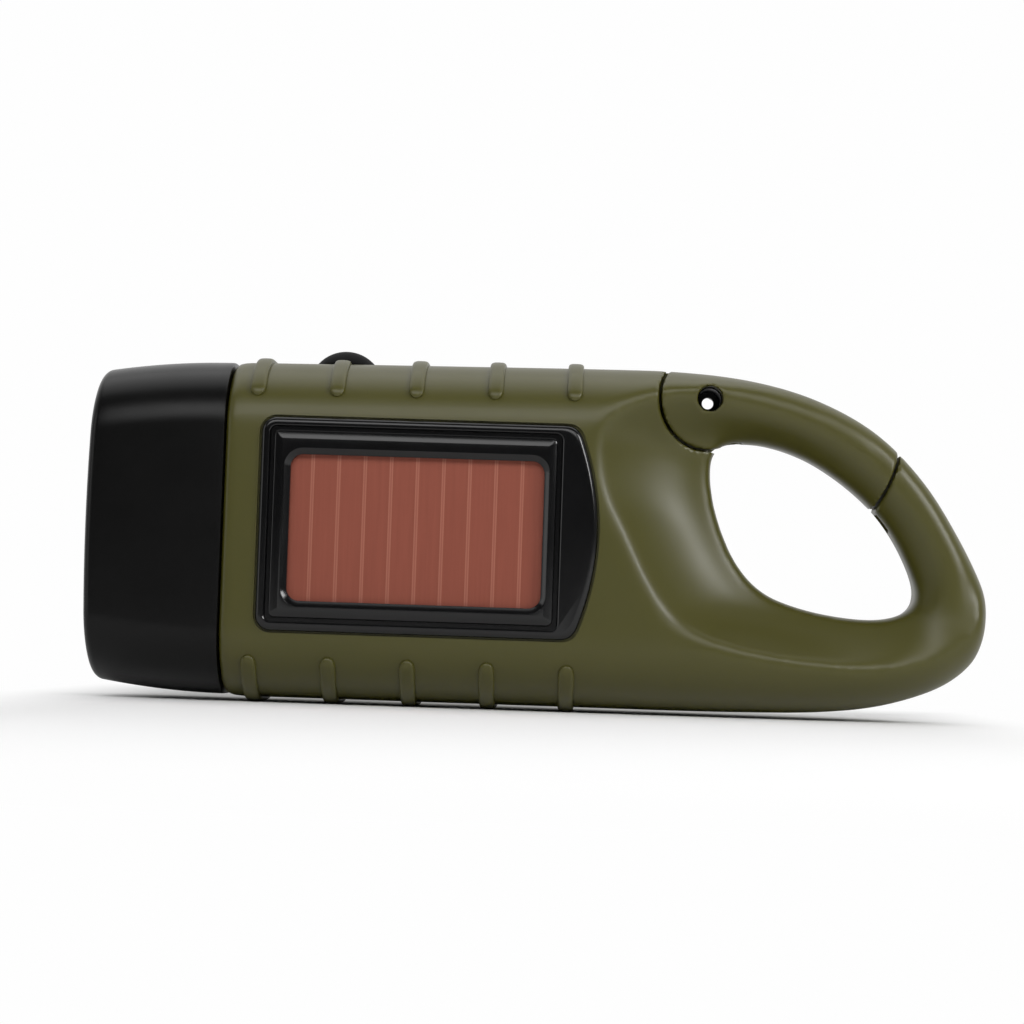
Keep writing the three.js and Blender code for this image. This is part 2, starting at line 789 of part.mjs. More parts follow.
function turned(points, sides = roundSides) {
  return new THREE.LatheGeometry(points.map(([radius, height]) => new THREE.Vector2(radius, height)), sides);
}

function pushButton() {
  const domeTop = buttonTop + buttonDome;
  const profile = [[0, flangeLow], [flangeRadius, flangeLow], [flangeRadius, flangeLow + buttonFlangeDepth]];
  profile.push([buttonRadius, flangeLow + buttonFlangeDepth]);
  for (let step = 0; step < cornerSteps; step += 1) {
    const turn = (step / cornerSteps) * (Math.PI / 2);
    profile.push([buttonRadius * Math.cos(turn), buttonTop + buttonDome * Math.sin(turn)]);
  }
  profile.push([0, domeTop]);
  const button = turned(profile, fineSides);
  button.rotateX(Math.PI / 2);
  button.translate(buttonX, 0, 0);
  add("switch_button", solid(button), rubber);
  add("switch_plunger", barZ(buttonX, 0, plungerRadius, switchTop - plungerSunk, flangeLow), nylon);
  const half = switchWide / 2;
  const body = block(buttonX - half, buttonX + half, -half, half, switchBoardTop, switchTop)
    .subtract(barZ(
      buttonX, 0, plungerRadius + gap, switchTop - plungerSunk - buttonTravel - gap, switchTop + overrun,
    ));
  add("tact_switch", body, blackCase);
  add("switch_board", block(
    buttonX - switchBoardHalf, buttonX + switchBoardHalf, -switchBoardHalf, switchBoardHalf,
    switchBoardTop - boardThick, switchBoardTop,
  ), board);
}

function lamp() {
  const share = (x) => (seamX - x) / headLength;
  const lensX = frontX + headLip;
  const gasketX = lensX + lensThick;
  const flangeX = gasketX + gasketThick;
  const backX = flangeX + bowlDepth;
  const fit = headWall + gap;
  const bezel = headLoft(0, 1, 0, headEdge)
    .subtract(headLoft(share(seamX + overrun), share(lensX), headWall))
    .subtract(headLoft(share(seamX), share(frontX - overrun), headFrame));
  add("head_bezel", bezel, blackCase);
  add("front_lens", headLoft(share(gasketX), share(lensX), fit), clearPlastic);
  const gasket = headLoft(share(flangeX), share(gasketX), fit)
    .subtract(headLoft(share(flangeX + overrun), share(gasketX - overrun), fit + gasketWidth));
  add("lens_gasket", gasket, rubber);
  let reflector = headLoft(share(flangeX + flangeThick), share(flangeX), fit);
  let bowls = null;
  const places = Array.from({ length: bowlCount }, (_, index) => (
    middleZ + (index - (bowlCount - 1) / 2) * bowlPitch
  ));
  for (const z of places) {
    const cup = (grow, x0, x1) => {
      const geometry = new THREE.CylinderGeometry(
        bowlRadius + grow, bowlBackRadius + grow, x1 - x0, roundSides,
      );
      geometry.rotateZ(Math.PI / 2);
      geometry.translate((x0 + x1) / 2, 0, z);
      return solid(geometry);
    };
    reflector = reflector.add(cup(bowlWall, flangeX, backX));
    const hollow = cup(0, flangeX - overlap, backX - bowlWall).add(
      barX(0, z, diodeRadius + gap, backX - bowlWall - overlap, backX + overrun),
    );
    bowls = bowls ? bowls.add(hollow) : hollow;
  }
  add("reflector", reflector.subtract(bowls), chrome);
  add("lamp_board", block(
    backX, backX + boardThick, -lampBoardHalfDepth, lampBoardHalfDepth,
    middleZ - lampBoardHalfHeight, middleZ + lampBoardHalfHeight,
  ), board);
  places.forEach((z, index) => {
    const straight = diodeLength - diodeRadius;
    const profile = [[0, 0], [diodeRadius, 0], [diodeRadius, straight]];
    for (let step = 1; step < cornerSteps; step += 1) {
      const turn = (step / cornerSteps) * (Math.PI / 2);
      profile.push([diodeRadius * Math.cos(turn), straight + diodeRadius * Math.sin(turn)]);
    }
    profile.push([0, diodeLength]);
    const diode = turned(profile);
    diode.rotateZ(Math.PI / 2);
    diode.translate(backX, 0, z);
    add(`lamp_diode_${index + 1}`, solid(diode), clearPlastic);
  });
  return backX + boardThick;
}

const radians = (degrees) => (degrees * Math.PI) / 180;
const gearModule = Math.min(bodyHeight / heightPerModule, (crankX - seamX) / lengthPerModule);

// A gear outline about its own centre with involute flanks, one tooth centred on the given angle
function gearPoints(teeth, centreX, centreZ, toothAngle) {
  const pitch = (gearModule * teeth) / 2;
  const pressure = radians(pressureDegrees);
  const base = pitch * Math.cos(pressure);
  const tip = pitch + gearModule * addendumShare;
  const root = pitch - gearModule * dedendumShare;
  const involute = (angle) => Math.tan(angle) - angle;
  const halfAt = (radius) => {
    const angle = radius > base ? Math.acos(base / radius) : 0;
    return Math.PI / (2 * teeth) - backlash / (2 * pitch) + involute(pressure) - involute(angle);
  };
  const radii = [root, pitch, tip];
  const points = [];
  for (let tooth = 0; tooth < teeth; tooth += 1) {
    const middle = toothAngle + (tooth / teeth) * Math.PI * 2;
    for (const radius of radii) {
      const turn = middle - halfAt(radius);
      points.push([centreX + radius * Math.cos(turn), centreZ + radius * Math.sin(turn)]);
    }
    for (const radius of [...radii].reverse()) {
      const turn = middle + halfAt(radius);
      points.push([centreX + radius * Math.cos(turn), centreZ + radius * Math.sin(turn)]);
    }
  }
  return points;
}

const plateOuterY = shellInner - gap - plateThick;
const layerTop = (layer) => plateOuterY - gearLayerGap - layer * (gearFace + gearLayerGap);
const plateInnerY = layerTop(3) - plateThick;
const meshStep = (fromX, fromZ, teethA, teethB, degrees) => {
  const reach = (gearModule * (teethA + teethB)) / 2;
  return [fromX + reach * Math.cos(radians(degrees)), fromZ + reach * Math.sin(radians(degrees))];
};
const [firstX, firstZ] = meshStep(crankX, crankZ, driveTeeth, pinionTeeth, firstTurnDegrees);
const [secondX, secondZ] = meshStep(firstX, firstZ, firstTeeth, pinionTeeth, secondTurnDegrees);
const [rotorX, rotorZ] = meshStep(secondX, secondZ, secondTeeth, pinionTeeth, rotorTurnDegrees);

function gearTrain() {
  const gear = (teeth, x, z, toothDegrees, layer) => prismY(
    gearPoints(teeth, x, z, radians(toothDegrees)), layerTop(layer) - gearFace, layerTop(layer),
  );
  const facing = (teeth, degrees) => degrees + 180 + 180 / teeth;
  const drive = gear(driveTeeth, crankX, crankZ, firstTurnDegrees, 0)
    .subtract(barY(crankX, crankZ, shaftRadius + gap, -overrun, bodyHalfDepth));
  add("drive_gear", drive, nylon);
  const compound = (x, z, smallLayer, inDegrees, wheelTeeth, outDegrees) => {
    const neck = barY(x, z, pinionCore, layerTop(smallLayer + 1) - overlap, layerTop(smallLayer));
    return gear(pinionTeeth, x, z, facing(pinionTeeth, inDegrees), smallLayer)
      .add(gear(wheelTeeth, x, z, outDegrees, smallLayer + 1))
      .add(neck)
      .subtract(barY(x, z, axleRadius + gap, -overrun, bodyHalfDepth));
  };
  add("first_gear", compound(firstX, firstZ, 0, firstTurnDegrees, firstTeeth, secondTurnDegrees), nylon);
  add("second_gear", compound(secondX, secondZ, 1, secondTurnDegrees, secondTeeth, rotorTurnDegrees), nylon);
  const pinion = gear(pinionTeeth, rotorX, rotorZ, facing(pinionTeeth, rotorTurnDegrees), 2)
    .subtract(barY(rotorX, rotorZ, axleRadius + gap, -overrun, bodyHalfDepth));
  add("rotor_pinion", pinion, brass);
  const axleEnd = plateOuterY + plateThick;
  add("first_axle", barY(firstX, firstZ, axleRadius, plateInnerY, axleEnd), steel);
  add("second_axle", barY(secondX, secondZ, axleRadius, plateInnerY, axleEnd), steel);

  const plateLeft = seamX + plateFromSeam;
  const plateRight = crankX + plateReach;
  const plateLow = upward(plateLowShare);
  const plateTop = shelfTop - shelfThick - gap * 2;
  const outline = [
    [plateLeft, plateTop], [plateLeft, plateLow + plateChamfer], [plateLeft + plateChamfer, plateLow],
    [plateRight - plateChamfer, plateLow], [plateRight, plateLow + plateChamfer], [plateRight, plateTop],
  ];
  const posts = [
    [plateLeft + postInset, plateTop - postInset],
    [plateRight - postInset, plateTop - postInset],
    [plateRight - postInset, plateLow + plateChamfer + rightPostRise],
    [firstX + (crankX - firstX) * lowPostShare, plateLow + lowPostRise],
  ];
  const shaftHoles = [
    [crankX, crankZ, shaftRadius], [firstX, firstZ, axleRadius],
    [secondX, secondZ, axleRadius], [rotorX, rotorZ, axleRadius],
  ];
  const plate = (low) => {
    const top = low + plateThick;
    const bores = shaftHoles.map(([x, z, radius]) => barY(x, z, radius + gap, low - overrun, top + overrun));
    return bores.reduce((shape, bore) => shape.subtract(bore), prismY(outline, low, top));
  };
  add("gear_plate_outer", plate(plateOuterY), nylon);
  add("gear_plate_inner", plate(plateInnerY), nylon);
  posts.forEach(([x, z], index) => {
    add(`plate_post_${index + 1}`, barY(x, z, postRadius, plateInnerY + plateThick, plateOuterY, 12), nylon);
  });
}

function generator() {
  const cupRadius = gearModule * cupPerModule;
  const coilBore = cupRadius - coilThick;
  const cupLow = plateInnerY - cupLength;
  const cup = barY(rotorX, rotorZ, cupRadius, cupLow, plateInnerY, fineSides)
    .subtract(barY(rotorX, rotorZ, cupRadius - cupWall, cupLow + cupWall, plateInnerY - cupWall, fineSides))
    .subtract(barY(rotorX, rotorZ, coilBore - gap, cupLow + cupWall, plateInnerY + overrun, fineSides))
    .subtract(barY(rotorX, rotorZ, axleRadius + gap, cupLow - overrun, plateInnerY));
  add("stator_cup", cup, steel);
  const coil = barY(
    rotorX, rotorZ, cupRadius - cupWall - gap, cupLow + cupWall + gap, plateInnerY - cupWall - gap, finestSides,
  ).subtract(barY(rotorX, rotorZ, coilBore, cupLow, plateInnerY, finestSides));
  add("stator_coil", coil, copper);
  const magnetTop = plateInnerY - magnetDrop;
  const magnet = barY(rotorX, rotorZ, coilBore - magnetGap, magnetTop - magnetLength, magnetTop, fineSides)
    .subtract(barY(rotorX, rotorZ, axleRadius + gap, cupLow, plateInnerY));
  add("rotor_magnet", magnet, magnetGrey);
  add("rotor_shaft", barY(rotorX, rotorZ, axleRadius, cupLow - overlap, layerTop(2) + gap), steel);
}

function crank() {
  const armLow = bodyHalfDepth + armGap;
  const armTop = armLow + armThick;
  const foldX = seamX + armShort;
  const windowEnd = crankX - armWindowEnd;
  const knobLength = windowEnd - knobEnd - foldX - knobStart;
  const foldY = armLow + foldHeight - gap / 2;
  const screwFloor = armTop - armScrewDepth - capThick;
  const tip = foldX - armTipReach;
  const outline = [];
  for (let step = 0; step <= armRoundSteps; step += 1) {
    const turn = (step / armRoundSteps - 0.5) * Math.PI;
    outline.push([crankX + armHalfWidth * Math.cos(turn), crankZ + armHalfWidth * Math.sin(turn)]);
  }
  for (const side of [1, -1]) {
    const z = crankZ + side * (armHalfWidth - armTipCorner);
    for (let step = 0; step <= cornerSteps; step += 1) {
      const turn = ((side > 0 ? 1 : 2) + step / cornerSteps) * (Math.PI / 2);
      outline.push([tip + armTipCorner + armTipCorner * Math.cos(turn), z + armTipCorner * Math.sin(turn)]);
    }
  }
  const arm = prismY(outline, armLow, armTop)
    .subtract(block(
      foldX - armWindowTip, windowEnd, armLow - overrun, armTop + overrun,
      crankZ - armWindowHalf, crankZ + armWindowHalf,
    ))
    .subtract(barY(crankX, crankZ, shaftRadius + gap, armLow - overrun, armTop))
    .subtract(barY(crankX, crankZ, armScrewHead + gap, screwFloor, armTop + overrun))
    .subtract(barZ(
      foldX, foldY, hingePinRadius + gap, crankZ - armHalfWidth * 2, crankZ + armHalfWidth * 2,
    ));
  add("crank_arm", arm, blackCase);
  const shaft = barY(crankX, crankZ, shaftRadius, plateInnerY, screwFloor)
    .subtract(barY(crankX, crankZ, screwShank + gap, screwFloor - screwBite - gap, armTop));
  add("crank_shaft", shaft, steel);
  const screw = barY(crankX, crankZ, screwShank, screwFloor - screwBite, screwFloor + overlap)
    .add(barY(crankX, crankZ, armScrewHead, screwFloor, screwFloor + armScrewDepth));
  add("crank_screw", screw, steel);
  add("crank_cap", barY(crankX, crankZ, armScrewHead, screwFloor + armScrewDepth, armTop), blackCase);
  const pinEnd = armHalfWidth - gap;
  add("knob_hinge_pin", barZ(foldX, foldY, hingePinRadius, crankZ - pinEnd, crankZ + pinEnd), steel);

  const stemEnd = foldX + knobStart + knobLength + gap;
  const stem = barZ(foldX, foldY, eyeRadius, crankZ - eyeHalf, crankZ + eyeHalf)
    .add(barX(foldY, crankZ, stemRadius, foldX, stemEnd + overlap))
    .add(barX(foldY, crankZ, stemHead, stemEnd, stemEnd + stemHeadThick))
    .subtract(barZ(foldX, foldY, hingePinRadius + gap, crankZ - armHalfWidth, crankZ + armHalfWidth));
  add("knob_stem", stem, blackCase);
  const bore = stemRadius + gap;
  const profile = [
    [bore, 0], [knobRadius - knobEdge, 0], [knobRadius, knobEdge], [knobWaist, knobLength / 2],
    [knobRadius, knobLength - knobEdge], [knobRadius - knobEdge, knobLength], [bore, knobLength], [bore, 0],
  ];
  const knob = turned(profile);
  knob.rotateZ(-Math.PI / 2);
  knob.translate(foldX + knobStart, foldY, crankZ);
  add("crank_knob", solid(knob), blackCase);
  return foldY + knobRadius;
}

function electronics(lampBoardBack) {
  const floor = -shellInner + gap;
  const top = floor + boardThick;
  const boardLeft = seamX + boardFromSeam;
  const boardRight = crankX + boardReach;
  const boardLow = upward(boardLowShare);
  const boardTop = shelfTop - shelfThick - boardDrop;
  const batteryX = boardRight - batteryInset;
  const batteryZ = boardLow + batteryRise;
  add("main_board", block(boardLeft, boardRight, floor, top, boardLow, boardTop), board);
  for (let cell = 0; cell < cellCount; cell += 1) {
    const low = top + cell * cellDiscThick;
    const disc = barY(batteryX, batteryZ, cellDisc, low, low + cellDiscThick, finestSides);
    add(`coin_cell_${cell + 1}`, disc, steel);
  }
  const holderTop = top + cellCount * cellDiscThick;
  const holder = barY(batteryX, batteryZ, cellDisc + gap + holderWall, top, holderTop, fineSides)
    .subtract(barY(batteryX, batteryZ, cellDisc + gap, top - overrun, top + bodyHalfDepth, finestSides));
  add("cell_holder", holder, blackCase);
  add("capacitor", barY(
    batteryX - capacitorReach, boardTop - capacitorDrop, capacitorRadius, top, top + capacitorLength,
  ), blackCase);
  for (let lead = 0; lead < leadCount; lead += 1) {
    const z = middleZ + leadFromMiddle - lead * leadPitch;
    const startY = -lampBoardHalfDepth + leadRadius * 2;
    const route = new THREE.CatmullRomCurve3([
      new THREE.Vector3(lampBoardBack + gap, startY, z),
      new THREE.Vector3(lampBoardBack + leadRadius * 3, startY, z),
      new THREE.Vector3((lampBoardBack + boardLeft) / 2, -shellInner + leadRise, z),
      new THREE.Vector3(boardLeft + leadRadius, top + leadRadius + gap, z),
      new THREE.Vector3(boardLeft + leadLanding, top + leadRadius + gap, z),
    ]);
    const section = new THREE.Shape();
    section.absarc(0, 0, leadRadius, 0, Math.PI * 2);
    add(`lamp_lead_${lead + 1}`, solid(new THREE.ExtrudeGeometry(section, {
      steps: 12, curveSegments: 4, bevelEnabled: false, extrudePath: route,
    })), copper);
  }
}

shells();
solarPanel();
carabinerGate();
pushButton();
const lampBoardBack = lamp();
gearTrain();
generator();
const crankFar = crank();
electronics(lampBoardBack);

// The part's middle in depth lies half way between the solar frame's face and the knob
const solarFar = bodyHalfDepth + frameProud + plateauProud;
inner.position.y = (solarFar - crankFar) / 2;

const root = new THREE.Group();
root.add(inner);
export default root;
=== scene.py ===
import math

import bmesh
import bpy
from mathutils import Matrix, Vector


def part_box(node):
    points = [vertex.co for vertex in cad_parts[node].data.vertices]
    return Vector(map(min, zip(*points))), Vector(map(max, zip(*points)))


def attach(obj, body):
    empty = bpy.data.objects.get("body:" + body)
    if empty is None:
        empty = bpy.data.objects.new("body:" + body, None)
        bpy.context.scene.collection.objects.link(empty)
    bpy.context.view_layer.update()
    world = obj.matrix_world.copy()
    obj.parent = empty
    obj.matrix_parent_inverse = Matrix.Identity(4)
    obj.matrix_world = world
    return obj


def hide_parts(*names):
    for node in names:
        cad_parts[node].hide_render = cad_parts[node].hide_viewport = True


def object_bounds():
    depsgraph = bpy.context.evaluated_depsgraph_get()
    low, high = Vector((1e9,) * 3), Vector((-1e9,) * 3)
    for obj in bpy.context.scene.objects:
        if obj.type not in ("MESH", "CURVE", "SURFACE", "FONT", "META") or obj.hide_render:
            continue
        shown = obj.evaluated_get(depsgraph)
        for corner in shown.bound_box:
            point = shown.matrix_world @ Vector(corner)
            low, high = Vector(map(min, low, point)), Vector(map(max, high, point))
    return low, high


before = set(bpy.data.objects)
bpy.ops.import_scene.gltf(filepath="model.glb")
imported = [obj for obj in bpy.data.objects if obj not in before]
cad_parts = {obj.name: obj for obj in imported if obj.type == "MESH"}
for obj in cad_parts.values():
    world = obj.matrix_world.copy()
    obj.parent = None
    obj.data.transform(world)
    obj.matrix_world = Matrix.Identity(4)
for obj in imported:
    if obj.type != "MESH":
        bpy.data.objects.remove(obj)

cad_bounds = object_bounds()
mm = 0.001


# The view: a long lens, low in front of the solar side and near the middle of its length, tipped up a
# little. It is rolled a little too, as the part stands in the picture.
def corners(node):
    """A node's lowest and highest corners."""
    return [Vector(corner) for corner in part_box(node)]


middle_y = (corners("crank_side_shell")[0].y + corners("solar_side_shell")[1].y) / 2
camera_data = bpy.data.cameras.new("camera")
camera_data.lens = 95.14
camera_data.sensor_width = 36
camera_data.clip_start = 10 * mm
camera = bpy.data.objects.new("camera", camera_data)
bpy.context.scene.collection.objects.link(camera)
bpy.context.scene.camera = camera
camera_place = (7.27 * mm, middle_y - 423.95 * mm, 10.84 * mm)
yaw, pitch, roll = (math.radians(angle) for angle in (-1.686, 2.700, 1.930))
camera.matrix_world = (
    Matrix.Translation(camera_place)
    @ Matrix.Rotation(-yaw, 4, "Z")
    @ Matrix.Rotation(math.pi / 2 + pitch, 4, "X")
    @ Matrix.Rotation(roll, 4, "Z")
)


# Shader values: a wrapped socket that adds Math nodes as expressions are written, and a node tree that
# makes any other node from its type, its settings and the values or links of its sockets. A finish is
# the tree of one material.
def srgb(red, green, blue):
    def linear(level):
        share = level / 255
        return share / 12.92 if share <= 0.04045 else ((share + 0.055) / 1.055) ** 2.4
    return (linear(red), linear(green), linear(blue), 1.0)


class Value:
    def __init__(self, owner, socket):
        self.owner = owner
        self.socket = socket

    def __add__(self, other):
        return self.owner.math("ADD", self, other)

    def __radd__(self, other):
        return self.owner.math("ADD", other, self)

    def __sub__(self, other):
        return self.owner.math("SUBTRACT", self, other)

    def __rsub__(self, other):
        return self.owner.math("SUBTRACT", other, self)

    def __mul__(self, other):
        return self.owner.math("MULTIPLY", self, other)

    def __rmul__(self, other):
        return self.owner.math("MULTIPLY", other, self)

    def __lt__(self, other):
        return self.owner.math("LESS_THAN", self, other)

    def __gt__(self, other):
        return self.owner.math("GREATER_THAN", self, other)


class Tree:
    def __init__(self, tree):
        self.tree = tree

    def node(self, kind, settings=None, values=None, out=0):
        added = self.tree.nodes.new(kind)
        for key, value in (settings or {}).items():
            setattr(added, key, value)
        for key, value in (values or {}).items():
            self.feed(added.inputs[key], value)
        return Value(self, added.outputs[out])

    def feed(self, socket, value):
        if isinstance(value, Value):
            self.tree.links.new(value.socket, socket)
        else:
            socket.default_value = value

    def math(self, operation, *values):
        return self.node("ShaderNodeMath", {"operation": operation}, dict(enumerate(values)))

    def axis(self, name, source="Object"):
        return self.node("ShaderNodeSeparateXYZ", None, {0: self.place(source)}, out=name)

    def place(self, source="Object"):
        return self.node("ShaderNodeTexCoord", out=source)

    def noise(self, scale, detail=2.0, rough=0.5, where=None):
        return self.node("ShaderNodeTexNoise", None, {
            "Vector": where or self.place(), "Scale": scale, "Detail": detail, "Roughness": rough,
        })

    def spread(self, value, low, high):
        return self.node("ShaderNodeMapRange", None, {"Value": value, "To Min": low, "To Max": high})

    def share(self, value, start, end, interpolation="LINEAR"):
        return self.node("ShaderNodeMapRange", {"interpolation_type": interpolation}, {
            "Value": value, "From Min": start, "From Max": end,
        })

    def mix(self, factor, dark, light):
        """A colour between two others, each given as red, green and blue levels or as a value."""
        dark, light = (part if isinstance(part, Value) else srgb(*part) for part in (dark, light))
        return self.node("ShaderNodeMix", {"data_type": "RGBA"}, {0: factor, 6: dark, 7: light}, out=2)


class Finish(Tree):
    def __init__(self, name, **constants):
        self.material = bpy.data.materials.new(name)
        self.material.use_nodes = True
        super().__init__(self.material.node_tree)
        self.shader = self.tree.nodes["Principled BSDF"]
        for socket, value in constants.items():
            self.shader.inputs[socket.replace("_", " ")].default_value = value

    def set(self, socket, value):
        self.feed(self.shader.inputs[socket], value)

    def tint(self, factor, dark, light):
        self.set("Base Color", self.mix(factor, dark, light))

    def wear(self, scale, detail, low, high):
        self.set("Roughness", self.spread(self.noise(scale, detail), low, high))

    def bump(self, height, distance, strength=1.0):
        self.set("Normal", self.node("ShaderNodeBump", None, {
            "Height": height, "Distance": distance, "Strength": strength,
        }))

    def coat(self, shade, dark, light, wear=None, grain=None):
        """An even surface: its colour, roughness and fine bump each follow a noise of their own. Shade is the
        noise's scale and detail, wear adds two roughnesses, and grain the bump's distance and strength."""
        self.tint(self.noise(*shade), dark, light)
        if wear:
            self.wear(*wear)
        if grain:
            self.bump(self.noise(*grain[:2]), *grain[2:])


# The floor and the light: a pale table that turns into the white backdrop away from the part, a soft box
# overhead, a strip above the camera, and weaker ones at the lamp and the tail. The studio is dark in front.
def backdrop(tree, behind):
    """How much of the white backdrop a ray sees: all of it from the camera, and in a mirror or in clear
    plastic as much as behind says."""
    kinds = ("Glossy", "Transmission", "Camera")
    seen = [tree.node("ShaderNodeLightPath", out=f"Is {kind} Ray") for kind in kinds]
    mirrored = tree.math("MAXIMUM", seen[0] * behind, seen[1] * behind)
    return tree.math("MAXIMUM", mirrored, seen[2])


white = srgb(254, 254, 254)
floor_finish = Finish("studio_floor", Roughness=0.8, Specular_IOR_Level=0.1)
floor_finish.coat((9, 2), (248, 248, 248), (250, 250, 250))
floor_y = floor_finish.axis("Y")
floor_way = floor_finish.node(
    "ShaderNodeVectorMath", {"operation": "LENGTH"}, {0: floor_finish.place()}, out="Value",
)
floor_aside = floor_finish.math("ABSOLUTE", floor_finish.axis("X") + 3 * mm)
floor_white = floor_finish.share(floor_way, 90 * mm, 270 * mm, "SMOOTHSTEP")
for way, start, end in ((floor_y, 30 * mm, 90 * mm), (floor_aside, 54 * mm, 84 * mm)):
    floor_white = floor_finish.math("MAXIMUM", floor_white, floor_finish.share(way, start, end, "SMOOTHSTEP"))
floor_seen = backdrop(floor_finish, floor_finish.share(floor_y, -50 * mm, 300 * mm))
floor_glow = floor_finish.node("ShaderNodeEmission", None, {"Color": white, "Strength": 1.0})
floor_mix = floor_finish.node("ShaderNodeMixShader", None, {
    0: floor_white * floor_seen, 1: Value(floor_finish, floor_finish.shader.outputs[0]), 2: floor_glow,
})
floor_finish.feed(floor_finish.tree.nodes["Material Output"].inputs["Surface"], floor_mix)
floor_mesh = bmesh.new()
bmesh.ops.create_grid(floor_mesh, x_segments=1, y_segments=1, size=4)
bmesh.ops.translate(floor_mesh, verts=floor_mesh.verts, vec=(0, 0, cad_bounds[0][2]))
floor_data = bpy.data.meshes.new("floor")
floor_mesh.to_mesh(floor_data)
floor_mesh.free()
floor_data.materials.append(floor_finish.material)
floor = bpy.data.objects.new("floor", floor_data)
bpy.context.scene.collection.objects.link(floor)

world = bpy.data.worlds.new("studio")
bpy.context.scene.world = world
world.use_nodes = True
studio = Tree(world.node_tree)
studio_back = studio.share(studio.axis("Y", "Generated"), -0.2, 0.6)
studio_fill = studio.tree.nodes["Background"]
studio_fill.inputs["Color"].default_value = (1, 1, 1, 1)
studio.feed(studio_fill.inputs["Strength"], studio.spread(studio_back, 0.04, 0.3))
studio_white = studio.node("ShaderNodeBackground", None, {"Color": white, "Strength": 1.0})
studio_mix = studio.node("ShaderNodeMixShader", None, {
    0: backdrop(studio, studio_back), 1: Value(studio, studio_fill.outputs[0]), 2: studio_white,
})
studio.feed(studio.tree.nodes["World Output"].inputs["Surface"], studio_mix)
bpy.context.scene.view_settings.view_transform = "Standard"


def soft_box(name, place, target, width, height, power):
    data = bpy.data.lights.new(name, "AREA")
    data.shape = "RECTANGLE"
    data.size = width
    data.size_y = height
    data.energy = power
    lamp = bpy.data.objects.new(name, data)
    bpy.context.scene.collection.objects.link(lamp)
    aim = Vector(target) - Vector(place)
    lamp.matrix_world = Matrix.Translation(place) @ aim.to_track_quat("-Z", "Y").to_matrix().to_4x4()


soft_box("top_box", (0, 60 * mm, 430 * mm), (0, 0, 20 * mm), 640 * mm, 300 * mm, 0.66)
soft_box("strip_box", (-20 * mm, -370 * mm, 280 * mm), (0, 0, 30 * mm), 560 * mm, 190 * mm, 1.05)
soft_box("tail_box", (360 * mm, -228 * mm, 214 * mm), (50 * mm, 0, 25 * mm), 120 * mm, 180 * mm, 0.9)
soft_box("lamp_box", (-420 * mm, -120 * mm, 120 * mm), (-40 * mm, 0, 25 * mm), 120 * mm, 260 * mm, 0.15)


# The body shells and the carabiner gate: satin olive plastic, moulded in two halves that screw together
# on the middle plane, with a thick ring for a tail and a sprung gate in it. All three are cut from one
# outer form, a pillow with five pairs of ribs and a scoop round its ring, so that they run into each other.
front_x, seam_x = (corner.x for corner in corners("head_bezel"))
body_length = 138 * mm
body_height = 52.6 * mm
foot_rise = 0.7 * mm
half_depth = 16.5 * mm
shell_wall = 2.2 * mm
gap = 0.3 * mm
corner_rise = body_height * 0.2
corner_depth = 12.5 * mm
corner_limit = 0.97
corner_part = 0.72
ring_wall_half = 6 * mm
centre_x = front_x + body_length / 2
seam_share = (seam_x - centre_x) / body_length
# Rows from the seam to the tail: top x and z, bottom x and z, and half depth, all as shares
outline_rows = [
    (seam_share, 0.987, seam_share, 0.0, 1), (-0.145, 0.994, -0.145, 0.0, 1), (0.058, 1.0, 0.058, 0.0, 1),
    (0.152, 0.998, 0.152, 0.0, 0.98), (0.232, 0.977, 0.232, 0.002, 0.93), (0.304, 0.926, 0.304, 0.008, 0.87),
    (0.370, 0.835, 0.366, 0.025, 0.8), (0.424, 0.698, 0.417, 0.059, 0.72), (0.465, 0.538, 0.457, 0.105, 0.62),
    (0.491, 0.409, 0.485, 0.169, 0.48), (0.4985, 0.350, 0.4965, 0.240, 0.3),
]
# Rows round the ring: opening x and z, rim x and z, height of the rim, and hollowness of the scoop there
scoop_rows = [
    (0.186, 0.745, 0.067, 0.838, 1.0, 1), (0.186, 0.677, 0.057, 0.738, 1.0, 1),
    (0.191, 0.603, 0.065, 0.624, 1.0, 1), (0.202, 0.517, 0.087, 0.510, 1.0, 1),
    (0.220, 0.428, 0.114, 0.367, 1.0, 1), (0.248, 0.356, 0.149, 0.257, 0.97, 1),
    (0.285, 0.317, 0.214, 0.200, 0.88, 1), (0.326, 0.295, 0.304, 0.165, 0.78, 0.85),
    (0.373, 0.287, 0.384, 0.162, 0.67, 0.6), (0.406, 0.310, 0.449, 0.205, 0.58, 0.35),
    (0.418, 0.354, 0.471, 0.319, 0.52, 0.15), (0.412, 0.416, 0.478, 0.471, 0.49, 0),
    (0.394, 0.513, 0.451, 0.605, 0.49, 0), (0.370, 0.599, 0.417, 0.719, 0.50, 0),
    (0.335, 0.679, 0.371, 0.831, 0.52, 0), (0.293, 0.747, 0.319, 0.911, 0.55, 0),
    (0.249, 0.785, 0.257, 0.964, 0.60, 0), (0.212, 0.789, 0.196, 0.992, 0.70, 0.1),
    (0.191, 0.770, 0.127, 0.975, 0.90, 0.5),
]


def body_point(x_share, z_share):
    return centre_x + body_length * x_share, foot_rise + body_height * z_share


def smooth_row(rows, place, closed=False):
    """The row at a place between rows, on a curve that passes through each row."""
    count = len(rows)
    start = math.floor(place)
    t = place - start
    picks = [start + step for step in (-1, 0, 1, 2)]
    picks = [index % count if closed else min(max(index, 0), count - 1) for index in picks]
    return [
        b + t * (c - a + t * (2 * a - 5 * b + 4 * c - d + t * (3 * b - a - 3 * c + d))) / 2
        for a, b, c, d in zip(*(rows[index] for index in picks))
    ]


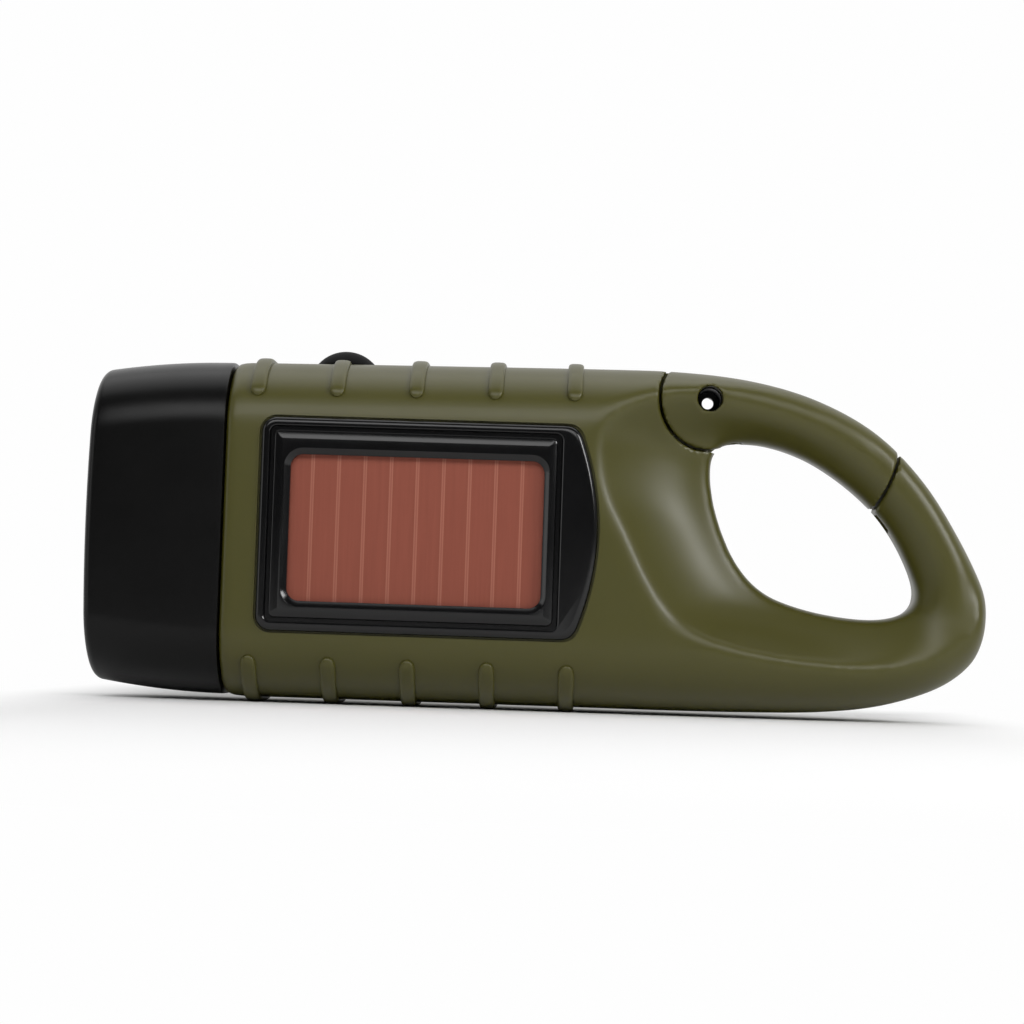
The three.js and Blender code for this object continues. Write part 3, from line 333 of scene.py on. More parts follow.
def section_point(turn, top, low, deep, inset):
    """A point on a section of the body: turn runs through four corners, each with the flat after it."""
    tall = (top[1] - low[1]) / 2
    rise = min(corner_rise, tall * corner_limit)
    depth = corner_depth * deep / half_depth
    quarter = int(turn) % 4
    part = turn - int(turn)

    def on_corner(index, share):
        angle = (index + share) * math.pi / 2
        side_y = 1 if index % 4 in (0, 3) else -1
        side_z = 1 if index % 4 < 2 else -1
        y = side_y * (deep - depth) + (depth - inset) * math.cos(angle)
        return Vector((0, y, side_z * (tall - rise) + (rise - inset) * math.sin(angle)))

    if part <= corner_part:
        at = on_corner(quarter, part / corner_part)
    else:
        at = on_corner(quarter, 1).lerp(on_corner(quarter + 1, 0), (part - corner_part) / (1 - corner_part))
    lift = (at.z + tall) / (2 * tall)
    return Vector((low[0] + (top[0] - low[0]) * lift, middle_y + at.y, low[1] + at.z + tall))


def row_point(turn, place, inset=0):
    row = smooth_row(outline_rows, place)
    top, low = body_point(*row[:2]), body_point(*row[2:4])
    return section_point(turn, top, low, half_depth * row[4], inset)


def skin(around, along, place):
    """A closed skin: a grid whose points go to place(round, way), joined up and with its ends filled."""
    form = bmesh.new()
    bmesh.ops.create_grid(form, x_segments=along, y_segments=around, size=0.5)
    for vert in form.verts:
        vert.co = place(vert.co.y + 0.5, vert.co.x + 0.5)
    bmesh.ops.remove_doubles(form, verts=form.verts, dist=0.001 * mm)
    bmesh.ops.holes_fill(form, edges=[edge for edge in form.edges if edge.is_boundary], sides=0)
    bmesh.ops.triangulate(form, faces=[face for face in form.faces if len(face.verts) > 4])
    bmesh.ops.recalc_face_normals(form, faces=form.faces)
    return piece("skin", form)


def piece(name, form):
    data = bpy.data.meshes.new(name)
    form.to_mesh(data)
    form.free()
    thing = bpy.data.objects.new(name, data)
    bpy.context.scene.collection.objects.link(thing)
    return thing


def twin(thing):
    copy = bpy.data.objects.new(thing.name, thing.data.copy())
    bpy.context.scene.collection.objects.link(copy)
    return copy


def settle(thing):
    """Applies a piece's modifiers to its mesh."""
    view = bpy.context.evaluated_depsgraph_get()
    data = bpy.data.meshes.new_from_object(thing.evaluated_get(view))
    thing.modifiers.clear()
    thing.data = data


def carve(thing, tools, operation="DIFFERENCE"):
    """Cuts the tools from a piece, or joins them to it, and drops the tools."""
    for tool in tools:
        step = thing.modifiers.new("carve", "BOOLEAN")
        step.operation = operation
        step.solver = "MANIFOLD"
        step.object = tool
        settle(thing)
        bpy.data.objects.remove(tool)
    return thing


def soften(thing, voxel, rounds):
    """Gives a piece an even skin with its edges rounded, as a mould leaves them."""
    step = thing.modifiers.new("even", "REMESH")
    step.mode = "VOXEL"
    step.voxel_size = voxel
    step = thing.modifiers.new("smooth", "SMOOTH")
    step.factor = 0.5
    step.iterations = rounds
    settle(thing)
    return thing


def bar(axis, place, radius, low, high, sides=64, end_radius=None):
    """A round bar along one axis, from low to high on it, through place on the others."""
    form = bmesh.new()
    end = radius if end_radius is None else end_radius
    bmesh.ops.create_cone(form, cap_ends=True, segments=sides, radius1=radius, radius2=end, depth=high - low)
    quarter = math.pi / 2
    turns = {"X": Matrix.Rotation(quarter, 4, "Y"), "Y": Matrix.Rotation(-quarter, 4, "X"), "Z": Matrix()}
    centre = Vector(place)
    centre["XYZ".index(axis)] = (low + high) / 2
    bmesh.ops.transform(form, matrix=Matrix.Translation(centre) @ turns[axis], verts=form.verts)
    return piece("bar", form)


def slab(low, high):
    form = bmesh.new()
    bmesh.ops.create_cube(form, size=1)
    size = [end - start for start, end in zip(low, high)]
    bmesh.ops.scale(form, vec=size, verts=form.verts)
    bmesh.ops.translate(form, vec=[(start + end) / 2 for start, end in zip(low, high)], verts=form.verts)
    return piece("slab", form)


def prism(points, low, high):
    """A flat outline of x, z points carried along Y from low to high."""
    form = bmesh.new()
    face = form.faces.new([form.verts.new((x, low, z)) for x, z in points])
    carried = bmesh.ops.extrude_face_region(form, geom=[face])
    moved = [part for part in carried["geom"] if isinstance(part, bmesh.types.BMVert)]
    bmesh.ops.translate(form, vec=(0, high - low, 0), verts=moved)
    bmesh.ops.recalc_face_normals(form, faces=form.faces)
    return piece("prism", form)


climb_part = 0.92
beyond_part = 0.96
scoop_reach = 1.15
ring_reach = 0.6
ring_thinning = 1.4 * mm
scoop_power = 1.7
round_reach = 0.65
round_limit = 0.72


def scoop_point(turn, way):
    """The tool for ring and scoop: turn goes round the ring, and way goes from one side to the other."""
    x0, z0, x1, z1, height, hollow = smooth_row(scoop_rows, (turn * len(scoop_rows)) % len(scoop_rows), True)
    out = abs(way - 0.5) * 2
    reach = min(out / climb_part, 1) * (scoop_reach + ring_reach * (1 - hollow))
    roundness = (1 - hollow) ** 2
    wall = ring_wall_half - ring_thinning * roundness
    climb = half_depth * height - wall
    bend = min(reach * (1 + round_reach * roundness), 1 + round_limit * roundness)
    rounded = wall + climb * math.sin(bend * math.pi / 2)
    hollowed = wall + climb * reach ** scoop_power
    y = rounded * (1 - hollow) + hollowed * hollow if out < beyond_part else half_depth + 4 * mm
    start = body_point(x0, z0)
    rim = body_point(x1, z1)
    side = 1 if way < 0.5 else -1
    return Vector((
        start[0] + (rim[0] - start[0]) * reach, middle_y + side * y, start[1] + (rim[1] - start[1]) * reach,
    ))


rib_first = 4.7 * mm
rib_last_x = centre_x + body_length * 0.0304
rib_count = 5
rib_pitch = (rib_last_x - seam_x - rib_first) / (rib_count - 1)
rib_half = 1.2 * mm
rib_proud = 0.7 * mm
rib_root = 0.9 * mm
rib_end_slope = 20
rib_squareness = 0.62
rib_xs = [seam_x + rib_first + rib_pitch * index for index in range(rib_count)]
rib_spans = [(0.2, 1.52), (2.18, 3.54)]


def place_at(x):
    """The place among the outline's rows whose top edge is at x."""
    low, high = 0, len(outline_rows) - 1
    for _ in range(24):
        middle = (low + high) / 2
        if body_point(*smooth_row(outline_rows, middle)[:2])[0] < x:
            low = middle
        else:
            high = middle
    return low


def rib(x, span):
    place = place_at(x)

    def at(turn, way):
        angle = turn * 2 * math.pi
        way = 0.5 - 0.5 * math.cos(way * math.pi)
        end = min(min(way, 1 - way) * rib_end_slope, 1)
        cap = max(math.sqrt(1 - (1 - end) ** 2), 0.02)
        round_part = (math.cos(angle), math.sin(angle))
        flat = [math.copysign(abs(value) ** rib_squareness, value) for value in round_part]
        along = span[0] + (span[1] - span[0]) * way
        foot = row_point(along, place)
        out = (row_point(along, place, -1 * mm) - foot).normalized()
        rise = rib_proud * cap if flat[1] > 0 else rib_root
        return foot + Vector((rib_half * cap * flat[0], 0, 0)) + out * rise * flat[1]

    return skin(24, 44, at)


rows = len(outline_rows) - 1
stock = skin(144, 150, lambda turn, way: row_point((turn * 4) % 4, way * rows))
carve(stock, [skin(190, 56, scoop_point)])
soften(stock, 0.6 * mm, 40)

pivot = (centre_x + body_length * 0.180, middle_y, foot_rise + body_height * 0.913)
pivot_reach = 7.7 * mm
gate_reach = 30.5 * mm
gate_seam = 0.4 * mm
pin_radius = 1.9 * mm
reach_y = (middle_y - half_depth - 2 * mm, middle_y + half_depth + 2 * mm)
gate_wedge = [(0.180, 0.913), (0.180, 1.1), (0.52, 1.1), (0.435, 0.575), (0.355, 0.575), (0.203, 0.715)]


def gate_space(grow):
    wedge = prism([body_point(*share) for share in gate_wedge], *reach_y)
    carve(wedge, [bar("Y", pivot, gate_reach + grow, *reach_y, 400)], "INTERSECT")
    return carve(wedge, [bar("Y", pivot, pivot_reach + grow, *reach_y, 128)], "UNION")


button_x = rib_xs[1]
button_top = row_point(0.86, place_at(button_x)).z
dish_radius = 20 * mm
dish_depth = 0.9 * mm


def button_dish():
    """A ball whose lowest part hollows the top round the button."""
    ball = bmesh.new()
    bmesh.ops.create_icosphere(ball, subdivisions=5, radius=dish_radius)
    lift = button_top + dish_radius - dish_depth
    bmesh.ops.translate(ball, vec=(button_x, middle_y, lift), verts=ball.verts)
    return piece("dish", ball)


gate = carve(twin(stock), [gate_space(-gate_seam / 2)], "INTERSECT")
shell = carve(stock, [gate_space(gate_seam / 2), button_dish()])
soften(shell, 0.42 * mm, 2)
ribs = [rib(x, span) for x in rib_xs for span in rib_spans]
carve(ribs[2], [button_dish()])
carve(shell, ribs, "UNION")


# What both halves have cut out of them while they are one: cavity, pin hole, latch pocket and button hole
def cavity_point(turn, way):
    x_share, top_share, _, low_share, _ = outline_rows[round(way * 2)]
    x = seam_x - 1 * mm if way == 0 else body_point(x_share, 0)[0]
    top, low = ((x, body_point(0, share)[1]) for share in (top_share, low_share))
    return section_point((turn * 4) % 4, top, low, half_depth, shell_wall)


latch_low = body_point(0.36, 0.535)
latch_high = body_point(0.3905, 0.600)
latch_half = 3.3 * mm
button_hole = 5.05 * mm
carve(shell, [
    skin(96, 2, cavity_point),
    bar("Z", (button_x, middle_y, 0), button_hole, body_height / 2, body_height + 5 * mm, 96),
    slab(
        (latch_low[0], middle_y - latch_half, latch_low[1]),
        (latch_high[0], middle_y + latch_half, latch_high[1]),
    ),
])

# The tongue in the middle of the shells, which carries the gate's pin, and the slot for it in the gate
tongue_half = 2.4 * mm
tongue_reach = 3.6 * mm
tongue_left = pivot[0] - pivot_reach - 0.5 * mm
tongue_low = pivot[2] - tongue_reach * 0.9
slot_half = tongue_half + gap
slot_low = pivot[2] - pivot_reach - 2 * mm
spring_half = 4.4 * mm
web_half = 6 * mm
pin_hole = pin_radius + 0.05 * mm
tongue = bar("Y", pivot, tongue_reach, middle_y - tongue_half, middle_y, 64)
tongue_root = slab((tongue_left, middle_y - tongue_half, tongue_low), (pivot[0], middle_y, pivot[2]))
carve(tongue, [tongue_root], "UNION")
tongue_strip = slab(
    (tongue_left, middle_y - 0.01 * mm, tongue_low),
    (pivot[0] - tongue_reach - 0.3 * mm, middle_y + tongue_half, pivot[2]),
)
web = carve(bar("Y", pivot, pivot_reach + 0.6 * mm, middle_y - web_half, middle_y + web_half, 96), [
    bar("Y", pivot, pivot_reach - 0.3 * mm, *reach_y, 96),
])
carve(web, [slab(
    (pivot[0] - 10 * mm, reach_y[0], pivot[2] - 5.5 * mm),
    (pivot[0] - 3 * mm, reach_y[1], pivot[2] + 4.1 * mm),
)], "INTERSECT")
carve(shell, [tongue, tongue_strip, web], "UNION")
carve(shell, [bar("Y", pivot, pin_hole, *reach_y)])
carve(gate, [
    bar("Y", pivot, tongue_reach + gap, middle_y - slot_half, middle_y + slot_half, 64),
    slab(
        (pivot[0] - pivot_reach - 1 * mm, middle_y - slot_half, slot_low),
        (pivot[0] + 5.6 * mm, middle_y + slot_half, pivot[2]),
    ),
    slab(
        (pivot[0] + 0.4 * mm, middle_y - spring_half, slot_low),
        (pivot[0] + 5.4 * mm, middle_y + spring_half, pivot[2] - 5.4 * mm),
    ),
    bar("Y", pivot, pin_hole, *reach_y),
])
soften(gate, 0.32 * mm, 2)


# The two halves, with the pockets for the solar frame and its cell on one and the crank's hole in the other
frame_low, frame_high = corners("solar_frame")
frame_bow = 3.4 * mm
frame_corner = 2.3 * mm
frame_bend = 1.9 * mm


def frame_points(inset, bow_steps=24, bend_steps=8, corner_steps=10):
    """The frame's outline: straight on three sides, bowed on the one by the scoop, with rounded corners."""
    left, right = frame_low.x + inset, frame_high.x - inset
    low, high = frame_low.z + inset, frame_high.z - inset
    half = (high - low) / 2
    corner = max(frame_corner - inset, 0.2 * mm)
    points = []
    for step in range(bow_steps + 1):
        share = (step / bow_steps * 2 - 1) * (1 - frame_bend / half)
        points.append((right - frame_bow * share ** 2, low + half + half * share))
    end = points[-1]
    bend = []
    for step in range(1, bend_steps + 1):
        way = step / bend_steps
        start, middle, last = (1 - way) ** 2, 2 * way * (1 - way), way ** 2
        bend.append((
            start * end[0] + middle * (right - frame_bow) + last * (right - frame_bow - frame_bend),
            start * (end[1] - low) + (middle + last) * 2 * half,
        ))
    points += [(x, low + rise) for x, rise in bend]
    for centre_z, quarter in ((high - corner, 1), (low + corner, 2)):
        for step in range(corner_steps + 1):
            angle = (quarter + step / corner_steps) * math.pi / 2
            points.append((left + corner + corner * math.cos(angle), centre_z + corner * math.sin(angle)))
    return points + [(x, high - rise) for x, rise in reversed(bend)]


big = 200 * mm


def keep_side(thing, side):
    """Keeps what lies on one side of the middle plane: -1 is the solar side, 1 the crank side."""
    near, far = sorted((middle_y, side * big))
    return carve(thing, [slab((-big, near, -big), (big, far, big))], "INTERSECT")


solar_face = middle_y - half_depth
crank_face = middle_y + half_depth
frame_seat = solar_face + 0.6 * mm
cell_low, cell_high = corners("solar_cell")
crank_shell = keep_side(twin(shell), 1)
solar_shell = keep_side(shell, -1)
carve(solar_shell, [
    prism(frame_points(-gap), solar_face - 2 * mm, frame_seat),
    slab(
        (cell_low.x - gap, solar_face - 2 * mm, cell_low.z - gap),
        (cell_high.x + gap, cell_high.y, cell_high.z + gap),
    ),
])

# Bosses for the five screws, deep recesses for their heads, shelves for the switch, and the lip that
# the lamp's bezel slides over
screw_boxes = [corners(f"shell_screw_{number}") for number in range(1, 6)]
inner_wall = half_depth - shell_wall
boss_end = inner_wall - 1.3 * mm
solar_boss = 2.4 * mm
crank_boss = 3.3 * mm
shank_hole = 1.4 * mm
head_hole = 2.5 * mm
boss_limit = centre_x + body_length * 0.1
for low, high in screw_boxes:
    place = (low + high) / 2
    seat = high.y - 1.6 * mm
    if place.x < boss_limit:
        carve(solar_shell, [bar("Y", place, solar_boss, middle_y - boss_end, middle_y, 48)], "UNION")
        carve(crank_shell, [bar("Y", place, crank_boss, middle_y, middle_y + boss_end, 48)], "UNION")
    carve(crank_shell, [
        bar("Y", place, shank_hole, middle_y - 1 * mm, seat + 0.5 * mm, 48),
        bar("Y", place, head_hole, seat, crank_face + 1 * mm, 64),
    ])
    carve(solar_shell, [bar("Y", place, shank_hole, low.y - gap, middle_y + 1 * mm, 48)])
shelf_half = 2 * mm
shelf_top = corners("switch_board")[0].z - gap
for half, side in ((solar_shell, -1), (crank_shell, 1)):
    start, end = sorted((middle_y + side * 3 * mm, middle_y + side * (inner_wall + 0.5 * mm)))
    carve(half, [slab(
        (button_x - shelf_half, start, shelf_top - 1.2 * mm), (button_x + shelf_half, end, shelf_top),
    )], "UNION")
shaft_low, shaft_high = corners("crank_shaft")
shaft = (shaft_low + shaft_high) / 2
shaft_hole = 2.3 * mm
carve(crank_shell, [bar("Y", shaft, shaft_hole, middle_y + 1 * mm, crank_face + 1 * mm)])

head_step = 0.3 * mm
head_sink = 0.5 * mm
head_taper = 1.8 * mm


def head_point(turn, x, inset):
    """A point on a section of the lamp's bezel, which narrows towards its front."""
    share = (seam_x - x) / (seam_x - front_x)
    drop = head_step + head_taper * share ** 2
    top_z = foot_rise + body_height - drop - head_sink
    return section_point((turn * 4) % 4, (x, top_z), (x, foot_rise + drop), half_depth - drop, inset)


def head_ring(profile, around=144):
    """A ring turned round the head from a closed profile of x and inset."""
    count = len(profile)
    return skin(around, count, lambda turn, way: head_point(turn, *profile[round(way * count) % count]))


spigot_out = 2.3 * mm
spigot_in = 3.8 * mm
spigot_root = 1.1 * mm
spigot = head_ring([
    (seam_x + shell_wall, spigot_root), (seam_x + 0.4 * mm, spigot_root), (seam_x + 0.4 * mm, spigot_out),
    (seam_x - 4.6 * mm, spigot_out), (seam_x - 5 * mm, spigot_out + 0.4 * mm),
    (seam_x - 5 * mm, spigot_in), (seam_x + shell_wall, spigot_in),
])
carve(solar_shell, [keep_side(twin(spigot), -1)], "UNION")
carve(crank_shell, [keep_side(spigot, 1)], "UNION")


def dress(thing, name, finish, body, nodes=(), sharp=40):
    """Names a finished piece, smooths its shading, gives it its material and puts it on its body."""
    thing.name = thing.data.name = name
    thing.data.shade_smooth()
    thing.data.set_sharp_from_angle(angle=math.radians(sharp))
    thing.data.materials.clear()
    thing.data.materials.append(finish.material)
    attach(thing, body)
    if nodes:
        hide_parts(*nodes)
    return thing


olive = Finish("olive_plastic", Specular_IOR_Level=0.5)
olive.coat((40, 3), (66, 64, 11), (70, 67, 15), (120, 3, 0.35, 0.43), (900, 3, 0.02 * mm, 0.25))
dress(solar_shell, "solar_side_skin", olive, "root", ["solar_side_shell"])
dress(crank_shell, "crank_side_skin", olive, "root", ["crank_side_shell"])
dress(gate, "gate_skin", olive, "gate", ["gate_lever"])


# The gate's pin: a black hollow rivet through the gate and the shells' tongue, open from side to side,
# narrow in its middle. The spring round it is steel wire.
black = Finish("black_plastic", Specular_IOR_Level=0.22)
black.coat((60, 3), (4, 4, 4), (6, 6, 6), (150, 3, 0.27, 0.35), (1100, 2, 0.015 * mm, 0.2))
pin_start, pin_end = corners("gate_pin")[0].y + 0.6 * mm, corners("gate_pin")[1].y - 0.6 * mm
pin_bore = 0.9 * mm
pin_mouth = 1.74 * mm
pin = bar("Y", pivot, pin_radius, pin_start, pin_end, 64)
carve(pin, [
    bar("Y", pivot, pin_bore, pin_start - 1 * mm, pin_end + 1 * mm),
    bar("Y", pivot, pin_mouth, pin_start - 1 * mm, middle_y - 1.4 * mm),
    bar("Y", pivot, pin_mouth, middle_y - 0.6 * mm, pin_end + 1 * mm),
])
dress(pin, "gate_rivet", black, "root", ["gate_pin"])


# The lamp's bezel: a black cap that slides over the shells' lip and narrows to a rounded front edge. Its
# front lip holds the clear lens in.
def arc(steps):
    return [step / steps * math.pi / 2 for step in range(1, steps)]


lamp_z = foot_rise + body_height / 2
bezel_edge = 1.3 * mm
bezel_start = seam_x - 0.3 * mm
bezel_steps = 14
bezel_bow = 0.9 * mm
bow_length = 9 * mm
lip_inset = 3.2 * mm
head_wall = 2 * mm
lens_x = front_x + 1.2 * mm
bezel_side = [(seam_x, 0.3 * mm), (seam_x - 0.1 * mm, 0.08 * mm), (bezel_start, 0)]
bezel_side += [
    (bezel_start + (front_x + bezel_edge - bezel_start) * step / bezel_steps, 0)
    for step in range(1, bezel_steps + 1)
]
bezel_side += [
    (front_x + bezel_edge * (1 - math.sin(angle)), bezel_edge * (1 - math.cos(angle))) for angle in arc(8)
]
bezel_side += [
    (front_x, bezel_edge), (front_x, lip_inset - 0.3 * mm), (front_x + 0.08 * mm, lip_inset - 0.08 * mm),
    (front_x + 0.3 * mm, lip_inset), (lens_x, lip_inset), (lens_x, head_wall), (seam_x, head_wall),
]
bezel = head_ring(bezel_side, 192)
for vert in bezel.data.vertices:
    reach = min(max((front_x + bow_length - vert.co.x) / bow_length, 0), 1)
    rise = (vert.co.z - lamp_z) / (body_height / 2)
    vert.co.x -= bezel_bow * reach ** 2 * (3 - 2 * reach) * (1 - rise ** 2)
dress(bezel, "lamp_bezel", black, "root", ["head_bezel"])


# The lens and its gasket: a flat plate of clear plastic behind the bezel's lip, on a ring of black rubber.
def head_plate(x0, x1, inset, edge=0.2 * mm):
    return skin(144, 3, lambda turn, way: head_point(
        turn, [x0, x0 - edge, x1 + edge, x1][round(way * 3)], inset + (edge if way in (0, 1) else 0),
    ))


head_inset = 2.3 * mm
gasket_in = 3.9 * mm
lens_front, lens_back = (corner.x for corner in corners("front_lens"))
clear = Finish("clear_plastic", Roughness=0.04, Transmission_Weight=1.0, IOR=1.49)
clear.coat((30, 2), (246, 249, 250), (252, 253, 253))
dress(head_plate(lens_back, lens_front, head_inset), "lamp_lens", clear, "root", ["front_lens"])
rubber = Finish("black_rubber", Specular_IOR_Level=0.06)
rubber.coat((80, 3), (5, 5, 5), (9, 9, 9), (200, 3, 0.5, 0.62), (1500, 2, 0.02 * mm, 0.3))
gasket_front, gasket_back = (corner.x for corner in corners("lens_gasket"))
gasket = head_ring([
    (gasket_back, head_inset), (gasket_front, head_inset),
    (gasket_front, gasket_in), (gasket_back, gasket_in),
])
dress(gasket, "lens_seal", rubber, "root", ["lens_gasket"])


# The reflector: one bright moulding with three bowls, and the three clear diodes that stand in them.
def spin(profile, place, axis, sides=64):
    """A turned form: profile is radius and height, from the axis out and back to it."""
    form = bmesh.new()
    chain = [form.verts.new((radius, 0, height)) for radius, height in profile]
    edges = [form.edges.new(pair) for pair in zip(chain, chain[1:])]
    bmesh.ops.spin(
        form, geom=chain + edges, cent=(0, 0, 0), axis=(0, 0, 1), angle=2 * math.pi, steps=sides,
        use_merge=True,
    )
    bmesh.ops.remove_doubles(form, verts=form.verts, dist=0.001 * mm)
    bmesh.ops.recalc_face_normals(form, faces=form.faces)
    turn = Vector((0, 0, 1)).rotation_difference(Vector(axis)).to_matrix().to_4x4()
    bmesh.ops.transform(form, matrix=Matrix.Translation(place) @ turn, verts=form.verts)
    return piece("turned", form)


reflector_front, reflector_back = (corner.x for corner in corners("reflector"))
bowl_pitch = body_height * 0.2624
bowl_radius = bowl_pitch * 0.45
bowl_back = 3.4 * mm
bowl_wall = 0.6 * mm
bowl_lead = 0.1 * mm
bowl_steps = 10
bowl_depth = reflector_back - bowl_wall - reflector_front + bowl_lead
diode_hole = 2.7 * mm
bowl_places = [Vector((0, middle_y, lamp_z + bowl_pitch * step)) for step in (-1, 0, 1)]
bowl_side = [(0, -bowl_lead)]
for step in range(bowl_steps + 1):
    share = step / bowl_steps
    bowl_side.append((bowl_radius + (bowl_back - bowl_radius) * share ** 1.6, bowl_depth * share - bowl_lead))
bowl_side.append((0, bowl_depth - bowl_lead))
reflector = head_plate(reflector_front + 1.2 * mm, reflector_front, head_inset, 0.1 * mm)
carve(reflector, [
    bar("X", place, bowl_radius + bowl_wall, reflector_front, reflector_back, 96, bowl_back + bowl_wall)
    for place in bowl_places
], "UNION")
for place in bowl_places:
    carve(reflector, [
        spin(bowl_side, (reflector_front, place.y, place.z), (1, 0, 0), 96),
        bar("X", place, diode_hole, reflector_back - 2 * mm, reflector_back + 1 * mm),
    ])
mirror = Finish("bright_metal", Metallic=1.0)
mirror.coat((50, 2), (226, 228, 230), (238, 239, 240), (90, 3, 0.06, 0.12))
dress(reflector, "reflector_bowls", mirror, "root", ["reflector"], 30)
phosphor = Finish("diode_phosphor", Roughness=0.6)
phosphor.coat((900, 4), (226, 196, 84), (240, 214, 112), grain=(2500, 3, 0.02 * mm, 0.4))
diode_radius = 2.4 * mm
die_sink = 1.6 * mm
die_side = [(0, 0), (1.1, 0), (1.1, 0.15), (0.8, 0.45), (0.4, 0.6), (0, 0.65)]
for number, place in enumerate(bowl_places, 1):
    tip, back = (corner.x for corner in corners(f"lamp_diode_{number}"))
    straight = back - tip - diode_radius
    diode_side = [(0, 0), (diode_radius, 0), (diode_radius, straight)]
    diode_side += [
        (diode_radius * math.cos(angle), straight + diode_radius * math.sin(angle)) for angle in arc(10)
    ]
    diode_side.append((0, straight + diode_radius))
    diode = spin(diode_side, (back, place.y, place.z), (-1, 0, 0), 48)
    dress(diode, f"diode_{number}", clear, "root", [f"lamp_diode_{number}"])
    die_place = (back - die_sink, place.y, place.z)
    die = spin([(radius * mm, height * mm) for radius, height in die_side], die_place, (-1, 0, 0), 40)
    dress(die, f"diode_die_{number}", phosphor, "root")


# The solar panel's frame: a black moulding with a rounded rim, a groove, and a raised picture-frame part
# whose window slopes down to the cell. Its plain wide end is bowed.
def tray(outline, levels):
    """A solid from one outline drawn at several insets and Y places, in order."""
    count = len(outline(0))
    drawn = [(outline(inset), y) for inset, y in levels]

    def at(turn, way):
        points, y = drawn[round(way * (len(levels) - 1))]
        x, z = points[round(turn * count) % count]
        return Vector((x, y, z))

    return skin(count, len(levels) - 1, at)


def round_box(left, right, low, high, radius, steps=8):
    """The outline of a rounded rectangle, as a function of how far it is drawn in."""
    def outline(inset):
        corner = max(radius - inset, 0.15 * mm)
        ends = [
            (right - inset, high - inset, 0), (left + inset, high - inset, 1),
            (left + inset, low + inset, 2), (right - inset, low + inset, 3),
        ]
        points = []
        for x, z, quarter in ends:
            centre_x = x + (-corner if quarter in (0, 3) else corner)
            centre_z = z + (-corner if quarter in (0, 1) else corner)
            for step in range(steps + 1):
                angle = (quarter + step / steps) * math.pi / 2
                points.append((centre_x + corner * math.cos(angle), centre_z + corner * math.sin(angle)))
        return points
    return outline


frame_face = solar_face - 0.8 * mm
plateau_face = frame_low.y
rim = 0.9 * mm


def frame_box(inset, right_inset, radius, high_inset=None, steps=8):
    """A rounded rectangle in the frame's outline, drawn in by inset on the sides that aren't given."""
    high = frame_high.z - (inset if high_inset is None else high_inset)
    left, right = frame_low.x + inset, frame_high.x - right_inset
    return round_box(left, right, frame_low.z + inset, high, radius, steps)


surround = tray(frame_points, [(0, frame_seat), (0, frame_face + rim)] + [
    (rim * (1 - math.cos(angle)), frame_face + rim * (1 - math.sin(angle))) for angle in arc(6)
] + [(rim, frame_face)])
carve(surround, [tray(frame_box(1.2 * mm, 5.5 * mm, 1.2 * mm), [
    (0.3 * mm, frame_face + 0.55 * mm), (0.1 * mm, frame_face + 0.1 * mm),
    (-0.1 * mm, frame_face - 0.05 * mm), (-0.1 * mm, frame_face - 2 * mm),
])])
carve(surround, [tray(frame_box(2 * mm, 6.4 * mm, 0.9 * mm), [
    (-0.1 * mm, frame_face + 0.7 * mm), (0, frame_face + 0.5 * mm), (0.15 * mm, plateau_face + 0.42 * mm),
    (0.3 * mm, plateau_face + 0.32 * mm), (1.2 * mm, plateau_face + 0.03 * mm), (1.35 * mm, plateau_face),
])], "UNION")
window_inset = 4.6 * mm
carve(surround, [tray(frame_box(window_inset, 8.3 * mm, 1.9 * mm, 5.6 * mm, 10), [
    (0, frame_seat + 1 * mm), (0, plateau_face + 0.8 * mm), (-0.75 * mm, plateau_face + 0.08 * mm),
    (-0.95 * mm, plateau_face - 0.02 * mm), (-0.95 * mm, plateau_face - 1 * mm),
])])
gloss = Finish("gloss_black", Specular_IOR_Level=0.45)
gloss.coat((60, 3), (6, 6, 7), (9, 9, 10), (150, 3, 0.16, 0.22), (1100, 2, 0.01 * mm, 0.15))
dress(surround, "solar_surround", gloss, "root", ["solar_frame"], 24)


# The solar cell: a thin brown-red wafer with nine pale printed lines across it, under a satin film.
cell = slab(cell_low, cell_high)
wafer = Finish("solar_wafer", Roughness=0.45, Specular_IOR_Level=0.3)
line_pitch = 3.97 * mm
line_first = frame_low.x + window_inset + 3.3 * mm
phase = wafer.math("PINGPONG", wafer.axis("X") - line_first, line_pitch / 2)
line_mask = (phase < 0.27 * mm) * 0.8 - (phase < 0.09 * mm) * 0.45
streaks = wafer.node("ShaderNodeVectorMath", {"operation": "MULTIPLY"}, {0: wafer.place(), 1: (1, 1, 0.04)})
wafer_red = wafer.mix(wafer.noise(1500, 3, 0.6, streaks), (128, 66, 51), (144, 78, 61))
wafer.tint(line_mask, wafer_red, (162, 102, 84))
wafer.bump(line_mask + wafer.noise(1200, 2) * 0.4, 0.02 * mm, 0.3)
dress(cell, "solar_wafer", wafer, "root", ["solar_cell"])


# The push button: a black rubber dome with a flange under the shell, over a nylon plunger.
button_foot, button_crown = (corner.z for corner in corners("switch_button"))
button_tall = button_crown + 0.4 * mm - button_foot
button_radius = 4.75 * mm
dome_tall = 2.4 * mm
dome_sphere = (button_radius ** 2 + dome_tall ** 2) / (2 * dome_tall)
dome_half = math.asin(button_radius / dome_sphere)
dome_steps = 24
button_side = [(0, 0), (5.65 * mm, 0), (5.85 * mm, 0.2 * mm), (5.85 * mm, 0.8 * mm), (5.65 * mm, 1 * mm)]
button_side += [(button_radius + 0.1 * mm, 1 * mm), (button_radius, 1.1 * mm)]
button_side.append((button_radius, button_tall - dome_tall - 0.15 * mm))
for step in range(1, dome_steps + 1):
    angle = dome_half * (1 - step / dome_steps)
    button_side.append((dome_sphere * math.sin(angle), button_tall - dome_sphere * (1 - math.cos(angle))))
button = spin(button_side, (button_x, middle_y, button_foot), (0, 0, 1), 96)
